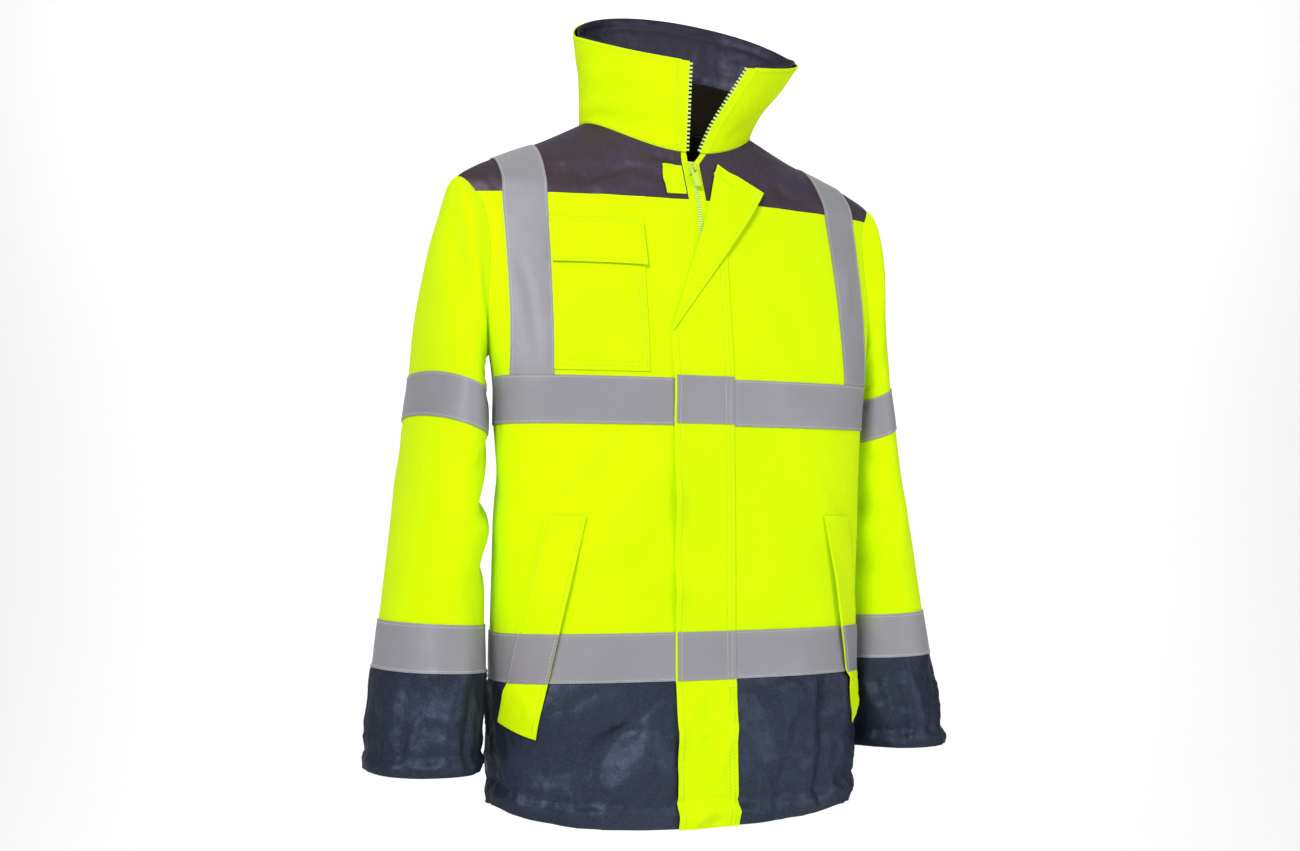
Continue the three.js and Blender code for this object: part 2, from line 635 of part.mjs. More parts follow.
// Collar: yellow outside, padded navy inside above a dark facing, with a zip edge at each front
function addCollar() {
  const last = COLLAR_ROWS.length - 1;
  const body = steps(COLLAR_SEGMENTS, COLLAR_ZIP_SHARE, 1 - COLLAR_ZIP_SHARE);
  const strip = (turns, places, layer) => wallGeometry(collarPoint, turns, places, last, layer, false);
  const gap = 0.004;
  const share = 0.0006;
  const facingPlaces = [0, 1, COLLAR_FACING_TOP - gap];
  const padPlaces = [COLLAR_FACING_TOP + gap, 2, 3];
  addMesh('collar_outer', strip(body, COLLAR_STEPS, COLLAR_OUTER_LAYER), COLOURS.yellow);
  addMesh('collar_inner', strip(body, padPlaces, COLLAR_INNER_LAYER), COLOURS.navy);
  addMesh('collar_facing', strip(body, facingPlaces, COLLAR_INNER_LAYER), COLOURS.lining);
  const edges = [['left', [0, COLLAR_ZIP_SHARE - share]], ['right', [1 - COLLAR_ZIP_SHARE + share, 1]]];
  for (const [side, turns] of edges) {
    addMesh(`collar_zip_${side}`, strip(turns, COLLAR_STEPS, COLLAR_OUTER_LAYER), COLOURS.zip);
  }
}

// Lining that shows inside the back of the neck
function addNeckLining() {
  const layer = torsoLayer(LINING_LAYER);
  const cut = block({ x: [-110, 110], y: [20, FAR], z: [LINING_BOTTOM_Z, FAR] });
  addSolid('neck_lining', layer.intersect(cut), COLOURS.lining);
}

// Closed zip between the fronts: two tapes, and between them the chain up to the slider
function addZip() {
  const layer = torsoLayer(ZIP_LAYER).intersect(block({ y: FRONT_SIDE }));
  const tapeEdge = ZIP_HALF_WIDTH - SEAM;
  const chainEdge = CHAIN_HALF_WIDTH;
  const rightTape = block({ x: [ZIP_X - tapeEdge, ZIP_X - chainEdge - SEAM] });
  const leftTape = leaning(ZIP_X + chainEdge + SEAM, ZIP_X + tapeEdge);
  const chain = block({ x: [ZIP_X - chainEdge, ZIP_X + chainEdge], z: [-FAR - FAR, ZIP_OPEN.z] });
  addSolid('zip_tape_right', layer.intersect(rightTape), COLOURS.yellow);
  addSolid('zip_chain', layer.intersect(chain), COLOURS.zip);
  addSolid('zip_tape_left', layer.intersect(leftTape), COLOURS.yellow);
}

// Hard zip parts, made flat with z along the zip and -y outwards, then laid on its slope
function onZip(geometry) {
  const frontTurn = 0.75;
  const seat = torsoPoint(frontTurn, placeAtHeight(frontTurn, SLIDER.z));
  return geometry.rotateX(-SLIDER.slope * DEGREES).translate(ZIP_X, seat.y, SLIDER.z);
}

function bar(width, height, length, x, out, z) {
  return new THREE.BoxGeometry(width, height, length).translate(x, -out, z);
}

function addSliderAndPull() {
  const top = SLIDER.lift + SLIDER.thickness;
  const roof = top + BRIDGE.opening;
  const end = (BRIDGE.length - BRIDGE.thickness) / 2;
  const parts = [
    bar(SLIDER.width, SLIDER.thickness, SLIDER.length, 0, SLIDER.lift + SLIDER.thickness / 2, 0),
    bar(BRIDGE.width, BRIDGE.opening + 1, BRIDGE.thickness, 0, top + (BRIDGE.opening - 1) / 2 + 0.5, end),
    bar(BRIDGE.width, BRIDGE.opening + 1, BRIDGE.thickness, 0, top + (BRIDGE.opening - 1) / 2 + 0.5, -end),
    bar(BRIDGE.width, BRIDGE.thickness, BRIDGE.length, 0, roof + BRIDGE.thickness / 2, 0),
  ];
  const slider = parts.map((part) => solid(onZip(part))).reduce((sum, part) => sum.add(part));
  addSolid('zip_slider', slider, COLOURS.zip);
  const axis = top + BRIDGE.opening / 2;
  const plateZ = (PULL.thickness - PULL.length) / 2;
  const plate = bar(PULL.width, PULL.thickness, PULL.length, 0, axis, plateZ);
  const holeZ = -PULL.rail / 2 - PULL.holeLength / 2;
  const hole = bar(PULL.holeWidth, 4 * PULL.thickness, PULL.holeLength, 0, axis, holeZ);
  addSolid('zip_pull', solid(onZip(plate)).subtract(solid(onZip(hole))), COLOURS.zip);
}

addPanels();
addTorsoTapes();
addStormFlap();
addChestPocket();
addWelts();
addSleeves();
addCollar();
addNeckLining();
addZip();
addSliderAndPull();

export default group;
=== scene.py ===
"""High-visibility work jacket, filled out as if worn. Sizes are in millimetres until a mesh is made."""
import math

import bpy
import numpy as np
from mathutils import Matrix, Vector
from mathutils.bvhtree import BVHTree


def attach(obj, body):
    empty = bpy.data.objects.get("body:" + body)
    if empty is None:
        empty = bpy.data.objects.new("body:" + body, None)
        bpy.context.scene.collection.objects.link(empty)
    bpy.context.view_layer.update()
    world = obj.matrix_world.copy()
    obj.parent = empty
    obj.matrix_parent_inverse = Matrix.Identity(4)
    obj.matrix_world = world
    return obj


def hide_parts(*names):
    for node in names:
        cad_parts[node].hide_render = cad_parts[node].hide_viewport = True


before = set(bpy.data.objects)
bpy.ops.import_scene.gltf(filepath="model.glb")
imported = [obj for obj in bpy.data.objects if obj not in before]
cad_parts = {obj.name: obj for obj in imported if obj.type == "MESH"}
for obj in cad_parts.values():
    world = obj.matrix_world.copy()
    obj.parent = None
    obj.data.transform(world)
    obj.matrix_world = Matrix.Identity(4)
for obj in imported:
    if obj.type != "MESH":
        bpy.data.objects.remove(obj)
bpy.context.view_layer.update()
MM = 0.001

# Layers, as distances out from the garment's surface (inner, outer)
PANEL = (-3.0, 0.0)
TAPE = (0.3, 1.3)
FLAP = (0.3, 1.9)
UPPER = (2.2, 3.2)
UPPER_TAPE = (2.2, 3.0)
WELT = (1.6, 3.2)
WELT_TAPE = (3.5, 4.2)
ZIP = (-2.4, -0.6)
LINING = (-5.0, -3.3)
COLLAR_OUTER = (-2.0, 0.0)
COLLAR_INNER = (-5.0, -2.3)
SEAM = 0.3

YOKE_EDGE = -89.0
CHEST_BAND = (-330.0, -281.0)
LOWER_BAND = (-594.0, -544.0)
HEM_SEAM = -590.0
LINING_BOTTOM = -120.0
ZIP_X = -4.0
ZIP_HALF_WIDTH = 10.5
CHAIN_HALF_WIDTH = 2.8
ZIP_OPEN_Z = -47.0
ZIP_LEAN = 69 / 77
FLAP_FREE_X = -44.0
FLAP_SEWN_X = 25.0
FOLD_TOP = (28.0, -47.0)
FOLD_TIP = (78.0, -77.0)
FOLD_LOW = (-44.0, -231.0)

# z, front z, back z, half width, centre y, front, back, front power, back power, centre x, rise
TORSO = np.array([
    (-722, -745, -740, 208, -6, 100, 116, 2.4, 2.3, 0, 1.1),
    (-664, -674, -668, 209, -10, 94, 120, 2.4, 2.3, 0, 1.1),
    (-594, -594, -594, 210, -15, 86, 124, 2.4, 2.2, 0, 2),
    (-544, -544, -544, 211, -18, 82, 124, 2.4, 2.2, 0, 2),
    (-430, -430, -430, 212, -25, 74, 124, 2.5, 2.1, 0, 2),
    (-330, -330, -330, 214, -33, 64, 126, 2.5, 2.1, 0, 2),
    (-281, -281, -281, 217, -36, 61, 126, 2.5, 2.0, 0, 2),
    (-240, -240, -240, 225, -30, 64, 122, 2.4, 1.9, 0, 2),
    (-190, -190, -190, 238, -20, 68, 117, 2.1, 1.8, 0, 2),
    (-140, -140, -140, 246, -12, 70, 110, 1.8, 1.7, 0, 2),
    (-103, -103, -103, 251, -6, 70, 103, 1.6, 1.6, 0, 2),
    (-76, -87, -78, 252, -2, 69, 97, 1.6, 1.6, 0, 2),
    (-58, -76, -58, 228, 3, 70, 91, 1.6, 1.6, 0, 2),
    (-41, -64, -37, 191, 8, 70, 84, 1.7, 1.7, 0, 2),
    (-24, -50, -15, 149, 13, 69, 76, 1.8, 1.8, 0, 2),
    (0, -35, 20, 100, 16, 66, 66, 2.0, 2.0, 0, 2),
], float)

# outer x, outer z, inner x, inner z, half depth, centre y, power
SLEEVE = np.array([
    (188, -103, 178, -222, 20, 0, 2),
    (226, -81, 203, -246, 34, 0, 2),
    (250, -72, 221, -266, 48, 3, 2),
    (260, -104, 221, -277, 60, 10, 2),
    (268, -153, 220, -285, 71, 24, 2.05),
    (273, -215, 217, -293, 80, 35, 2.1),
    (276, -274, 214, -300, 85, 39, 2.1),
    (283, -320, 213, -346, 87, 39, 2.1),
    (295, -392, 214, -410, 82, 32, 2.1),
    (308, -462, 215, -473, 76, 25, 2.1),
    (319, -531, 218, -536, 71, 19, 2.15),
    (326, -580, 219, -584, 72, 15, 2.2),
    (332, -632, 222, -634, 75, 13, 2.3),
    (337, -682, 226, -682, 77, 10, 2.3),
], float)
SLEEVE_SEAM = 10.9

# The torso's columns, then the x of the right and left edge of the opening
COLLAR = np.array([
    (0.5, -34.5, 20.5, 100, 16, 66, 66, 2, 2, 0, 2, -7.1, 10.3),
    (30, -8, 56, 107, 14, 71, 70, 2, 2, 6, 1.6, -9, 20),
    (62, 22, 96, 120, 12, 79, 74, 2, 2, 15, 1.3, -12, 36),
    (92, 57, 142, 134, 10, 86, 78, 2, 2, 24, 1.1, -14, 57),
], float)
COLLAR_FACING_TOP = 1.55
COLLAR_ZIP_SHARE = 0.013
QUILT_ROW = 2.7

# The largest folds, as in the solids, by view: from (across, z), to (across, z), width, height (below 0
# is a trough). Across is x on the front and back, and y on the two sides.
TORSO_FOLDS = {
    "front": [
        (-80, -622, -150, -690, 24, -6), (-196, -612, -160, -668, 24, 5), (-120, -712, -58, -690, 22, 5),
        (97, -600, 130, -690, 24, 5), (-97, -345, -131, -408, 22, -3), (-57, -468, -138, -512, 22, -3),
        (60, -350, 120, -430, 24, -3),
    ],
    "back": [
        (-60, -120, -130, -260, 28, -5), (60, -130, 128, -270, 28, -5), (30, -350, 110, -470, 26, -4),
        (-20, -340, -110, -450, 26, -4), (90, -612, 130, -700, 24, -5), (-60, -605, -120, -690, 24, -5),
        (20, -640, -20, -735, 26, 5),
    ],
    "left": [
        (20, -345, -20, -420, 22, -4), (10, -605, -15, -715, 22, -4),
    ],
    "right": [
        (20, -345, -20, -415, 22, -4), (10, -600, -20, -710, 22, -4),
    ],
}

# Narrower creases laid over the folds, each with one steep and one flat side
TORSO_CREASES = {
    "front": [
        (-62, -600, -92, -645, 9, -4.8), (-92, -645, -128, -672, 11, -5.4),
        (-150, -630, -118, -604, 11, 4.5), (-176, -640, -186, -700, 11, -4.5),
        (-140, -705, -100, -722, 11, -5.1), (-70, -668, -52, -700, 10, 3.8),
        (-104, -690, -70, -655, 14, 5.1), (-158, -716, -178, -744, 9, -3.8),
        (140, -640, 136, -728, 8, -5.4), (70, -640, 84, -735, 10, -4.5), (92, -654, 168, -656, 5, -2.4),
        (100, -620, 60, -700, 12, 4.2), (172, -610, 182, -720, 10, 5.1), (112, -690, 128, -735, 9, 3.8),
        (42, -606, 62, -626, 9, -3.5), (-120, -350, -158, -395, 9, 2), (-70, -395, -60, -450, 9, -1.6),
        (-66, -440, -150, -470, 13, 2), (-62, -505, -120, -540, 9, -1.8), (-150, -405, -186, -418, 5, -2.2),
        (-148, -418, -180, -434, 5, 1.8), (-140, -436, -172, -448, 5, -1.6),
        (50, -460, 130, -520, 12, -2.2), (120, -380, 170, -440, 12, 2), (-60, -190, -58, -262, 7, -1.6),
        (-38, -236, -46, -275, 7, -2.0), (60, -140, 120, -240, 14, -2), (-197, -168, -184, -262, 5, -1.8),
        (190, -150, 182, -200, 8, 2.2), (-18, -46, -52, -39, 6, -3.0), (-20, -53, -72, -50, 6, 2.6),
        (-18, -60, -48, -66, 6, -2.6), (-74, -54, -130, -76, 10, -4.0), (-104, -46, -150, -58, 9, 3.6),
        (-60, -70, -110, -86, 9, 3.0), (12, -50, 44, -58, 6, -2.4), (16, -60, 40, -76, 6, 2.0),
        (90, -55, 140, -80, 8, -2.0),
    ],
    "back": [
        (0, -440, 10, -540, 16, 2.5), (-150, -380, -110, -520, 13, 2.5), (150, -620, 175, -710, 11, 5.4),
        (-165, -620, -150, -720, 11, 5.4), (60, -600, 40, -690, 10, -4.5), (-20, -610, -50, -680, 10, 4.2),
        (-120, -640, -150, -735, 10, -4.5), (-90, -150, 60, -175, 12, -1.8),
    ],
    "left": [
        (40, -350, -10, -400, 11, -2.5), (60, -610, 70, -720, 12, 5.6),
    ],
    "right": [
        (50, -350, -5, -410, 11, -2.5), (60, -610, 72, -720, 12, 5.6),
    ],
}

# Folds and creases of a sleeve: from (degrees, ring), to (degrees, ring), width, height; 0 degrees is
# its outer side and 90 its front
SLEEVE_FOLDS = [
    (205, 7.4, 125, 8.2, 20, -6), (190, 7.9, 130, 8.7, 18, 3), (205, 8.4, 128, 9.2, 20, -5),
    (40, 3.2, 75, 5.2, 24, -3), (300, 3.2, 270, 5.2, 24, -3), (60, 11, 75, 13, 18, -4),
    (125, 11, 140, 13, 18, -4), (215, 11, 225, 13, 18, -4), (310, 11, 320, 13, 18, -4),
]
SLEEVE_CREASES = [
    (196, 7.6, 120, 8.2, 9, -2.6), (200, 8.7, 135, 9.1, 9, -2.4), (180, 8.1, 100, 8.6, 10, 2.4),
    (150, 6.9, 105, 7.7, 10, -2.2), (175, 5.6, 120, 6.2, 10, -2.6), (160, 4.6, 118, 5.4, 9, -2.4),
    (60, 8.2, 95, 9.2, 14, 2), (20, 2.4, 40, 4.0, 12, -2), (330, 7.8, 270, 8.8, 14, 2.5),
    (250, 8.0, 215, 8.7, 11, -3), (100, 9.4, 130, 10.1, 11, -2.2), (95, 11.2, 85, 13.0, 9, 4.5),
    (40, 11.3, 48, 12.9, 8, -2.6), (112, 11.4, 108, 12.8, 7, -3.9), (20, 11.3, 30, 12.9, 10, 2.0),
    (170, 11.2, 165, 12.9, 9, 2.0), (192, 11.3, 200, 12.8, 7, -1.8), (260, 11.3, 250, 12.9, 11, 4.5),
    (345, 11.3, 340, 12.8, 8, -1.8),
]

# Stitched lines above the edge of the hem and of the cuffs
HEM_LINE_RISE = 25.0
CUFF_LINE_RISE = 22.0


# Surfaces

def rows_at(table, place):
    """Smooth values of every column of a table, at places between its rows."""
    last = len(table) - 1
    row = np.clip(np.floor(place).astype(int), 0, last - 1)
    t = (place - row)[:, None]
    a = table[np.maximum(row - 1, 0)]
    b = table[row]
    c = table[row + 1]
    d = table[np.minimum(row + 2, last)]
    square = 2 * a - 5 * b + 4 * c - d
    cube = 3 * b - a - 3 * c + d
    return (2 * b + (c - a) * t + square * t * t + cube * t * t * t) / 2


def rounded(value, power):
    return np.sign(value) * np.abs(value) ** (2 / power)


def ring_points(rows, angle):
    """Points of rings round the body, at angles from the wearer's left through the back."""
    side = np.cos(angle)
    depth = np.sin(angle)
    in_front = depth < 0
    power = np.where(in_front, rows[:, 7], rows[:, 8])
    x = rows[:, 9] + rows[:, 3] * rounded(side, power)
    y = rows[:, 4] + np.where(in_front, rows[:, 5], rows[:, 6]) * rounded(depth, power)
    end = np.where(in_front, rows[:, 1], rows[:, 2])
    return np.stack([x, y, rows[:, 0] + (end - rows[:, 0]) * np.abs(depth) ** rows[:, 10]], 1)


def torso_base(u, v):
    return ring_points(rows_at(TORSO, v), u * 2 * math.pi)


def sleeve_base(u, v):
    rows = rows_at(SLEEVE, v)
    side = rounded(np.cos(-u * 2 * math.pi), rows[:, 6])
    depth = rounded(np.sin(-u * 2 * math.pi), rows[:, 6])
    x = (rows[:, 0] + rows[:, 2]) / 2 + side * (rows[:, 0] - rows[:, 2]) / 2
    z = (rows[:, 1] + rows[:, 3]) / 2 + side * (rows[:, 1] - rows[:, 3]) / 2
    return np.stack([x, rows[:, 5] + rows[:, 4] * depth, z], 1)


def collar_base(u, v):
    rows = rows_at(COLLAR, v)
    left = -np.arccos((rows[:, 12] - rows[:, 9]) / rows[:, 3])
    right = 2 * math.pi - np.arccos((rows[:, 11] - rows[:, 9]) / rows[:, 3])
    return ring_points(rows, left + (right - left) * u)


def lattice_noise(points, scale, seed):
    """Smooth seeded noise from -1 to 1 through space."""
    size = 24
    lattice = np.random.default_rng(seed).uniform(-1, 1, (size, size, size))
    at = points / scale + 1000.0
    cell = np.floor(at).astype(int)
    part = at - cell
    part = part * part * (3 - 2 * part)
    total = np.zeros(len(points))
    for corner in np.ndindex(2, 2, 2):
        weight = np.abs(1 - np.array(corner) - part).prod(1)
        total += weight * lattice[tuple(((cell + corner) % size).T)]
    return total


def smooth(value):
    value = np.clip(value, 0, 1)
    return value * value * (3 - 2 * value)


def bell(value, middle, spread):
    """1 at the middle, falling smoothly towards 0 on both sides."""
    return np.exp(-((value - middle) / spread) ** 2)


def fold_height(across, along, fold, wobble=None):
    """Height of a soft fold, or with a wobble that of an uneven crease with a steep and a flat side."""
    a0, b0, a1, b1, width, height = fold
    da, db = a1 - a0, b1 - b0
    length = math.hypot(da, db)
    t = ((across - a0) * da + (along - b0) * db) / length ** 2
    off = ((across - a0) * db - (along - b0) * da) / length
    spread = width
    if wobble is not None:
        off = off + wobble * width * 0.5
        spread = width * np.where(off > 0, 1.5, 0.75)
    ends = smooth((t + 0.25) / 0.5) * smooth((1.25 - t) / 0.5)
    return height * ends * bell(off, 0, spread)


def facets(points, scale, seed, sharp=2.5):
    """Crumpled cloth: soft facets that meet along ridges."""
    first = np.abs(lattice_noise(points, scale, seed))
    second = np.abs(lattice_noise(points, scale * 0.62, seed + 50))
    return 1 - sharp * np.minimum(first, second) / (0.35 + np.minimum(first, second) * sharp)


def hem_height(u):
    """Height of the lower edge of the body."""
    last = np.repeat(rows_at(TORSO, np.zeros(1)), len(u), 0)
    return ring_points(last, u * 2 * math.pi)[:, 2]


# How far fine puckers stand up beside a seam, and how wide they run along it
SEAM_PUCKER = 0.4
PUCKER_SPREAD = 7
PUCKERED_HEIGHTS = (-594, -544, -330, -281, YOKE_EDGE)
PUCKERED_RINGS = (6, 7, 10, 11)

# Width of the front that stays flat at the zip and the flap, and on the right of the zip over the yoke
FLAT_WIDTH = 34
FLAT_WIDTH_ON_YOKE = 19

# Length in millimetres of one ring's step along the cuff
CUFF_STEP = 50


def turned_edge(rise, line_rise, pucker, uneven, groove, puckers, roll, waves):
    """A turned edge: a groove and puckers along its stitch line, and an uneven roll below it."""
    lift = puckers * pucker * bell(rise, line_rise, 9) - groove * bell(rise, line_rise, 4)
    roll_height, roll_rise, roll_spread = roll
    wave_height, wave_rise, wave_spread = waves
    lift += roll_height * bell(rise, roll_rise, roll_spread)
    return lift + wave_height * uneven * bell(rise, wave_rise, wave_spread)


# Height of the crumpled navy cloth's facets
HEM_FACETS = 4.6
CUFF_FACETS = 3.2


def torso_relief(u, v, points):
    """How far the cloth of the body stands off its base shape."""
    x, y, z = points.T
    wobble = lattice_noise(points, 38, 3)
    lift = 0.9 * lattice_noise(points, 90, 1) + 0.4 * lattice_noise(points, 36, 2)
    on_hem = smooth((-z - 592) / 8)
    lift += on_hem * (HEM_FACETS * facets(points * [1, 1, 0.8], 50, 5) + 0.8 * lattice_noise(points, 13, 8))
    masks = {
        "front": smooth(-y / 30),
        "back": smooth(y / 30),
        "left": smooth((x - 185) / 30),
        "right": smooth((-x - 185) / 30),
    }
    small = np.zeros(len(u))
    for view, mask in masks.items():
        across = x if view in ("front", "back") else y
        for fold in TORSO_FOLDS[view]:
            lift += mask * fold_height(across, z, fold)
        for fold in TORSO_CREASES[view]:
            small += mask * fold_height(across, z, fold, wobble)
    # The zip and the flap stay flat, and little moves at the neck seam and near the armholes
    calm = smooth(-z / 60) * (1 - 0.8 * smooth((np.abs(x) - 200) / 30) * smooth((z + 300) / 30))
    flat_width = np.where((z > YOKE_EDGE) & (x < ZIP_X), FLAT_WIDTH_ON_YOKE, FLAT_WIDTH)
    lift += small * (1 - masks["front"] * smooth((flat_width - np.abs(x + 9)) / 5))
    pucker = lattice_noise(points * [1, 1, 0.4], 7, 4)
    for height in PUCKERED_HEIGHTS:
        lift += SEAM_PUCKER * pucker * bell(z, height, PUCKER_SPREAD)
    uneven = lattice_noise(points * [1, 1, 0.3], 17, 6)
    rise = z - hem_height(u)
    lift += turned_edge(rise, HEM_LINE_RISE, pucker, uneven, 2.8, 2.4, (3.4, 12, 8), (2.2, 10, 12))
    return lift * calm


# Millimetres along one degree round a sleeve, and along one ring's step down it
SLEEVE_DEGREE = 1.17
SLEEVE_RING = 62.0


def sleeve_relief(u, v, points):
    """How far the cloth of a sleeve stands off its base shape."""
    wobble = lattice_noise(points, 36, 13)
    lift = 0.9 * lattice_noise(points, 80, 11) + 0.45 * lattice_noise(points, 34, 12)
    on_cuff = smooth((v - SLEEVE_SEAM) / 0.15)
    lift += on_cuff * (CUFF_FACETS * facets(points * [1, 1, 0.7], 42, 15) + 0.7 * lattice_noise(points, 13, 18))
    degrees = (u * 360) % 360
    for folds, wave in ((SLEEVE_FOLDS, None), (SLEEVE_CREASES, wobble)):
        for start, start_ring, end, end_ring, width, height in folds:
            centre = (start + end) / 2
            across = ((degrees - centre + 180) % 360 - 180) * SLEEVE_DEGREE
            from_point = ((start - centre) * SLEEVE_DEGREE, start_ring * SLEEVE_RING)
            to_point = ((end - centre) * SLEEVE_DEGREE, end_ring * SLEEVE_RING)
            lift += fold_height(across, v * SLEEVE_RING, (*from_point, *to_point, width, height), wave)
    pucker = lattice_noise(points * [1, 1, 0.4], 7, 14)
    for place in PUCKERED_RINGS:
        lift += SEAM_PUCKER * pucker * bell((v - place) * 60, 0, PUCKER_SPREAD)
    uneven = lattice_noise(points * [1, 1, 0.3], 16, 16)
    rise = (13 - v) * CUFF_STEP
    lift += turned_edge(rise, CUFF_LINE_RISE, pucker, uneven, 2.4, 2.2, (2.4, 11, 7), (2.0, 9, 11))
    return lift * smooth((v - 2.0) / 1.6)


COLLAR_CREASES = [
    (0.72, 0.35, 0.90, 1.35, 0.055, 1.6), (0.78, 0.2, 0.97, 0.9, 0.05, -1.5),
    (0.66, 1.4, 0.86, 2.5, 0.06, -1.4), (0.80, 1.9, 0.95, 2.6, 0.06, 1.2),
    (0.04, 0.6, 0.14, 1.6, 0.05, -1.4), (0.10, 1.6, 0.2, 2.6, 0.06, 1.2), (0.3, 0.5, 0.42, 2.0, 0.06, -1.4),
    (0.55, 0.6, 0.45, 2.2, 0.06, 1.4),
]


# Length round the collar and height of one of its rows, in units of 100 mm
COLLAR_ROUND = 5.6
COLLAR_ROW = 0.36


def collar_relief(u, v, points):
    """Soft slanted creases of the collar; its lines are given across (share) and up (row)."""
    lift = 0.8 * lattice_noise(points, 55, 21) + 0.3 * lattice_noise(points, 20, 22)
    wobble = lattice_noise(points, 40, 23)
    across, along = u * COLLAR_ROUND, v * COLLAR_ROW
    for a, b, c, d, width, height in COLLAR_CREASES:
        line = (a * COLLAR_ROUND, b * COLLAR_ROW, c * COLLAR_ROUND, d * COLLAR_ROW)
        lift += fold_height(across, along, (*line, width * 2, height), wobble)
    return lift * smooth(v / 0.5) * smooth(u / 0.06) * smooth((1 - u) / 0.06)


class Surface:
    """A surface of the garment with its creases; a point can be moved out along its normal."""

    def __init__(self, base, relief, last, mirror=False, first=0.0):
        self.base = base
        self.relief = relief
        self.first = first
        self.last = last
        self.mirror = mirror

    def frame(self, u, v):
        step = 0.002
        low = np.maximum(v - step, self.first)
        high = np.minimum(v + step, self.last)
        across = self.base(u + step, v) - self.base(u - step, v)
        along = self.base(u, high) - self.base(u, low)
        normal = np.cross(across, along)
        normal /= np.maximum(np.linalg.norm(normal, axis=1, keepdims=True), 1e-9)
        return self.base(u, v), normal

    def at(self, u, v, lift=0.0):
        points, normal = self.frame(u, v)
        lift = np.broadcast_to(lift, u.shape)
        moved = points + normal * (self.relief(u, v, points) + lift)[:, None]
        return moved * [-1, 1, 1] if self.mirror else moved

    def normal(self, u, v):
        normal = self.frame(u, v)[1]
        return normal * [-1, 1, 1] if self.mirror else normal


torso = Surface(torso_base, torso_relief, len(TORSO) - 1)
collar = Surface(collar_base, collar_relief, len(COLLAR) - 1, first=-0.2)
sleeves = {
    "left": Surface(sleeve_base, sleeve_relief, len(SLEEVE) - 1),
    "right": Surface(sleeve_base, sleeve_relief, len(SLEEVE) - 1, mirror=True),
}


def places(table_steps, spacing, low=0.0, high=None):
    """Places between two limits, about one spacing apart, given the length of each row in millimetres."""
    high = len(table_steps) if high is None else high
    result = [low]
    for row, length in enumerate(table_steps):
        start, end = max(low, row), min(high, row + 1)
        if end <= start:
            continue
        count = max(1, round(length * (end - start) / spacing))
        result += list(np.linspace(start, end, count + 1)[1:])
    return np.array(result)


TORSO_STEPS = [70, 74, 50, 114, 100, 49, 41, 52, 53, 36, 24, 28, 42, 48, 60]
SLEEVE_STEPS = [45, 35, 28, 45, 58, 60, 50, 72, 72, 68, 50, 52, 50]
COLLAR_STEPS = [33, 36, 40]


# Cutting and thickening

def only_used(u, v, polygons):
    """Drops the points that no polygon uses."""
    used = sorted({i for polygon in polygons for i in polygon})
    index = {old: new for new, old in enumerate(used)}
    return u[used], v[used], [[index[i] for i in polygon] for polygon in polygons]


def clip(u, v, polygons, field):
    """Keeps the part of a mesh of parameters where a field is above 0."""
    value = field(u, v)
    inside = value > 0
    kept, mixed = [], []
    for polygon in polygons:
        count = sum(inside[i] for i in polygon)
        if count == len(polygon):
            kept.append(polygon)
        elif count:
            mixed.append(polygon)
    pairs = {}
    for polygon in mixed:
        for a, b in zip(polygon, polygon[1:] + polygon[:1]):
            if inside[a] != inside[b]:
                pairs.setdefault((min(a, b), max(a, b)), len(pairs))
    if pairs:
        ends = np.array(list(pairs))
        ua, ub = u[ends[:, 0]], u[ends[:, 1]]
        va, vb = v[ends[:, 0]], v[ends[:, 1]]
        ub = ub - np.round(ub - ua)
        low, high = np.zeros(len(ends)), np.ones(len(ends))
        sign = np.where(inside[ends[:, 0]], 1, -1)
        for _ in range(11):
            middle = (low + high) / 2
            side = field(ua + (ub - ua) * middle, va + (vb - va) * middle) * sign > 0
            low = np.where(side, middle, low)
            high = np.where(side, high, middle)
        middle = (low + high) / 2
        base = len(u)
        u = np.concatenate([u, ua + (ub - ua) * middle])
        v = np.concatenate([v, va + (vb - va) * middle])
        for polygon in mixed:
            piece = []
            for a, b in zip(polygon, polygon[1:] + polygon[:1]):
                if inside[a]:
                    piece.append(a)
                if inside[a] != inside[b]:
                    piece.append(base + pairs[(min(a, b), max(a, b))])
            if len(piece) > 2:
                kept.append(piece)
    return only_used(u, v, kept)


def largest_part(u, v, polygons):
    """The largest connected part of a mesh of parameters."""
    parent = list(range(len(u)))

    def root(i):
        while parent[i] != i:
            parent[i] = parent[parent[i]]
            i = parent[i]
        return i

    for polygon in polygons:
        first = root(polygon[0])
        for other in polygon[1:]:
            parent[root(other)] = first
    counts = {}
    for polygon in polygons:
        key = root(polygon[0])
        counts[key] = counts.get(key, 0) + 1
    best = max(counts, key=counts.get)
    kept = [polygon for polygon in polygons if root(polygon[0]) == best]
    return only_used(u, v, kept)


def grid(us, vs, closed):
    columns, rows = len(us), len(vs)
    u = np.tile(us, rows)
    v = np.repeat(vs, columns)
    across = columns if closed else columns - 1
    polygons = []
    for j in range(rows - 1):
        for i in range(across):
            k = (i + 1) % columns
            polygons.append([j * columns + i, j * columns + k, (j + 1) * columns + k, (j + 1) * columns + i])
    return u, v, polygons


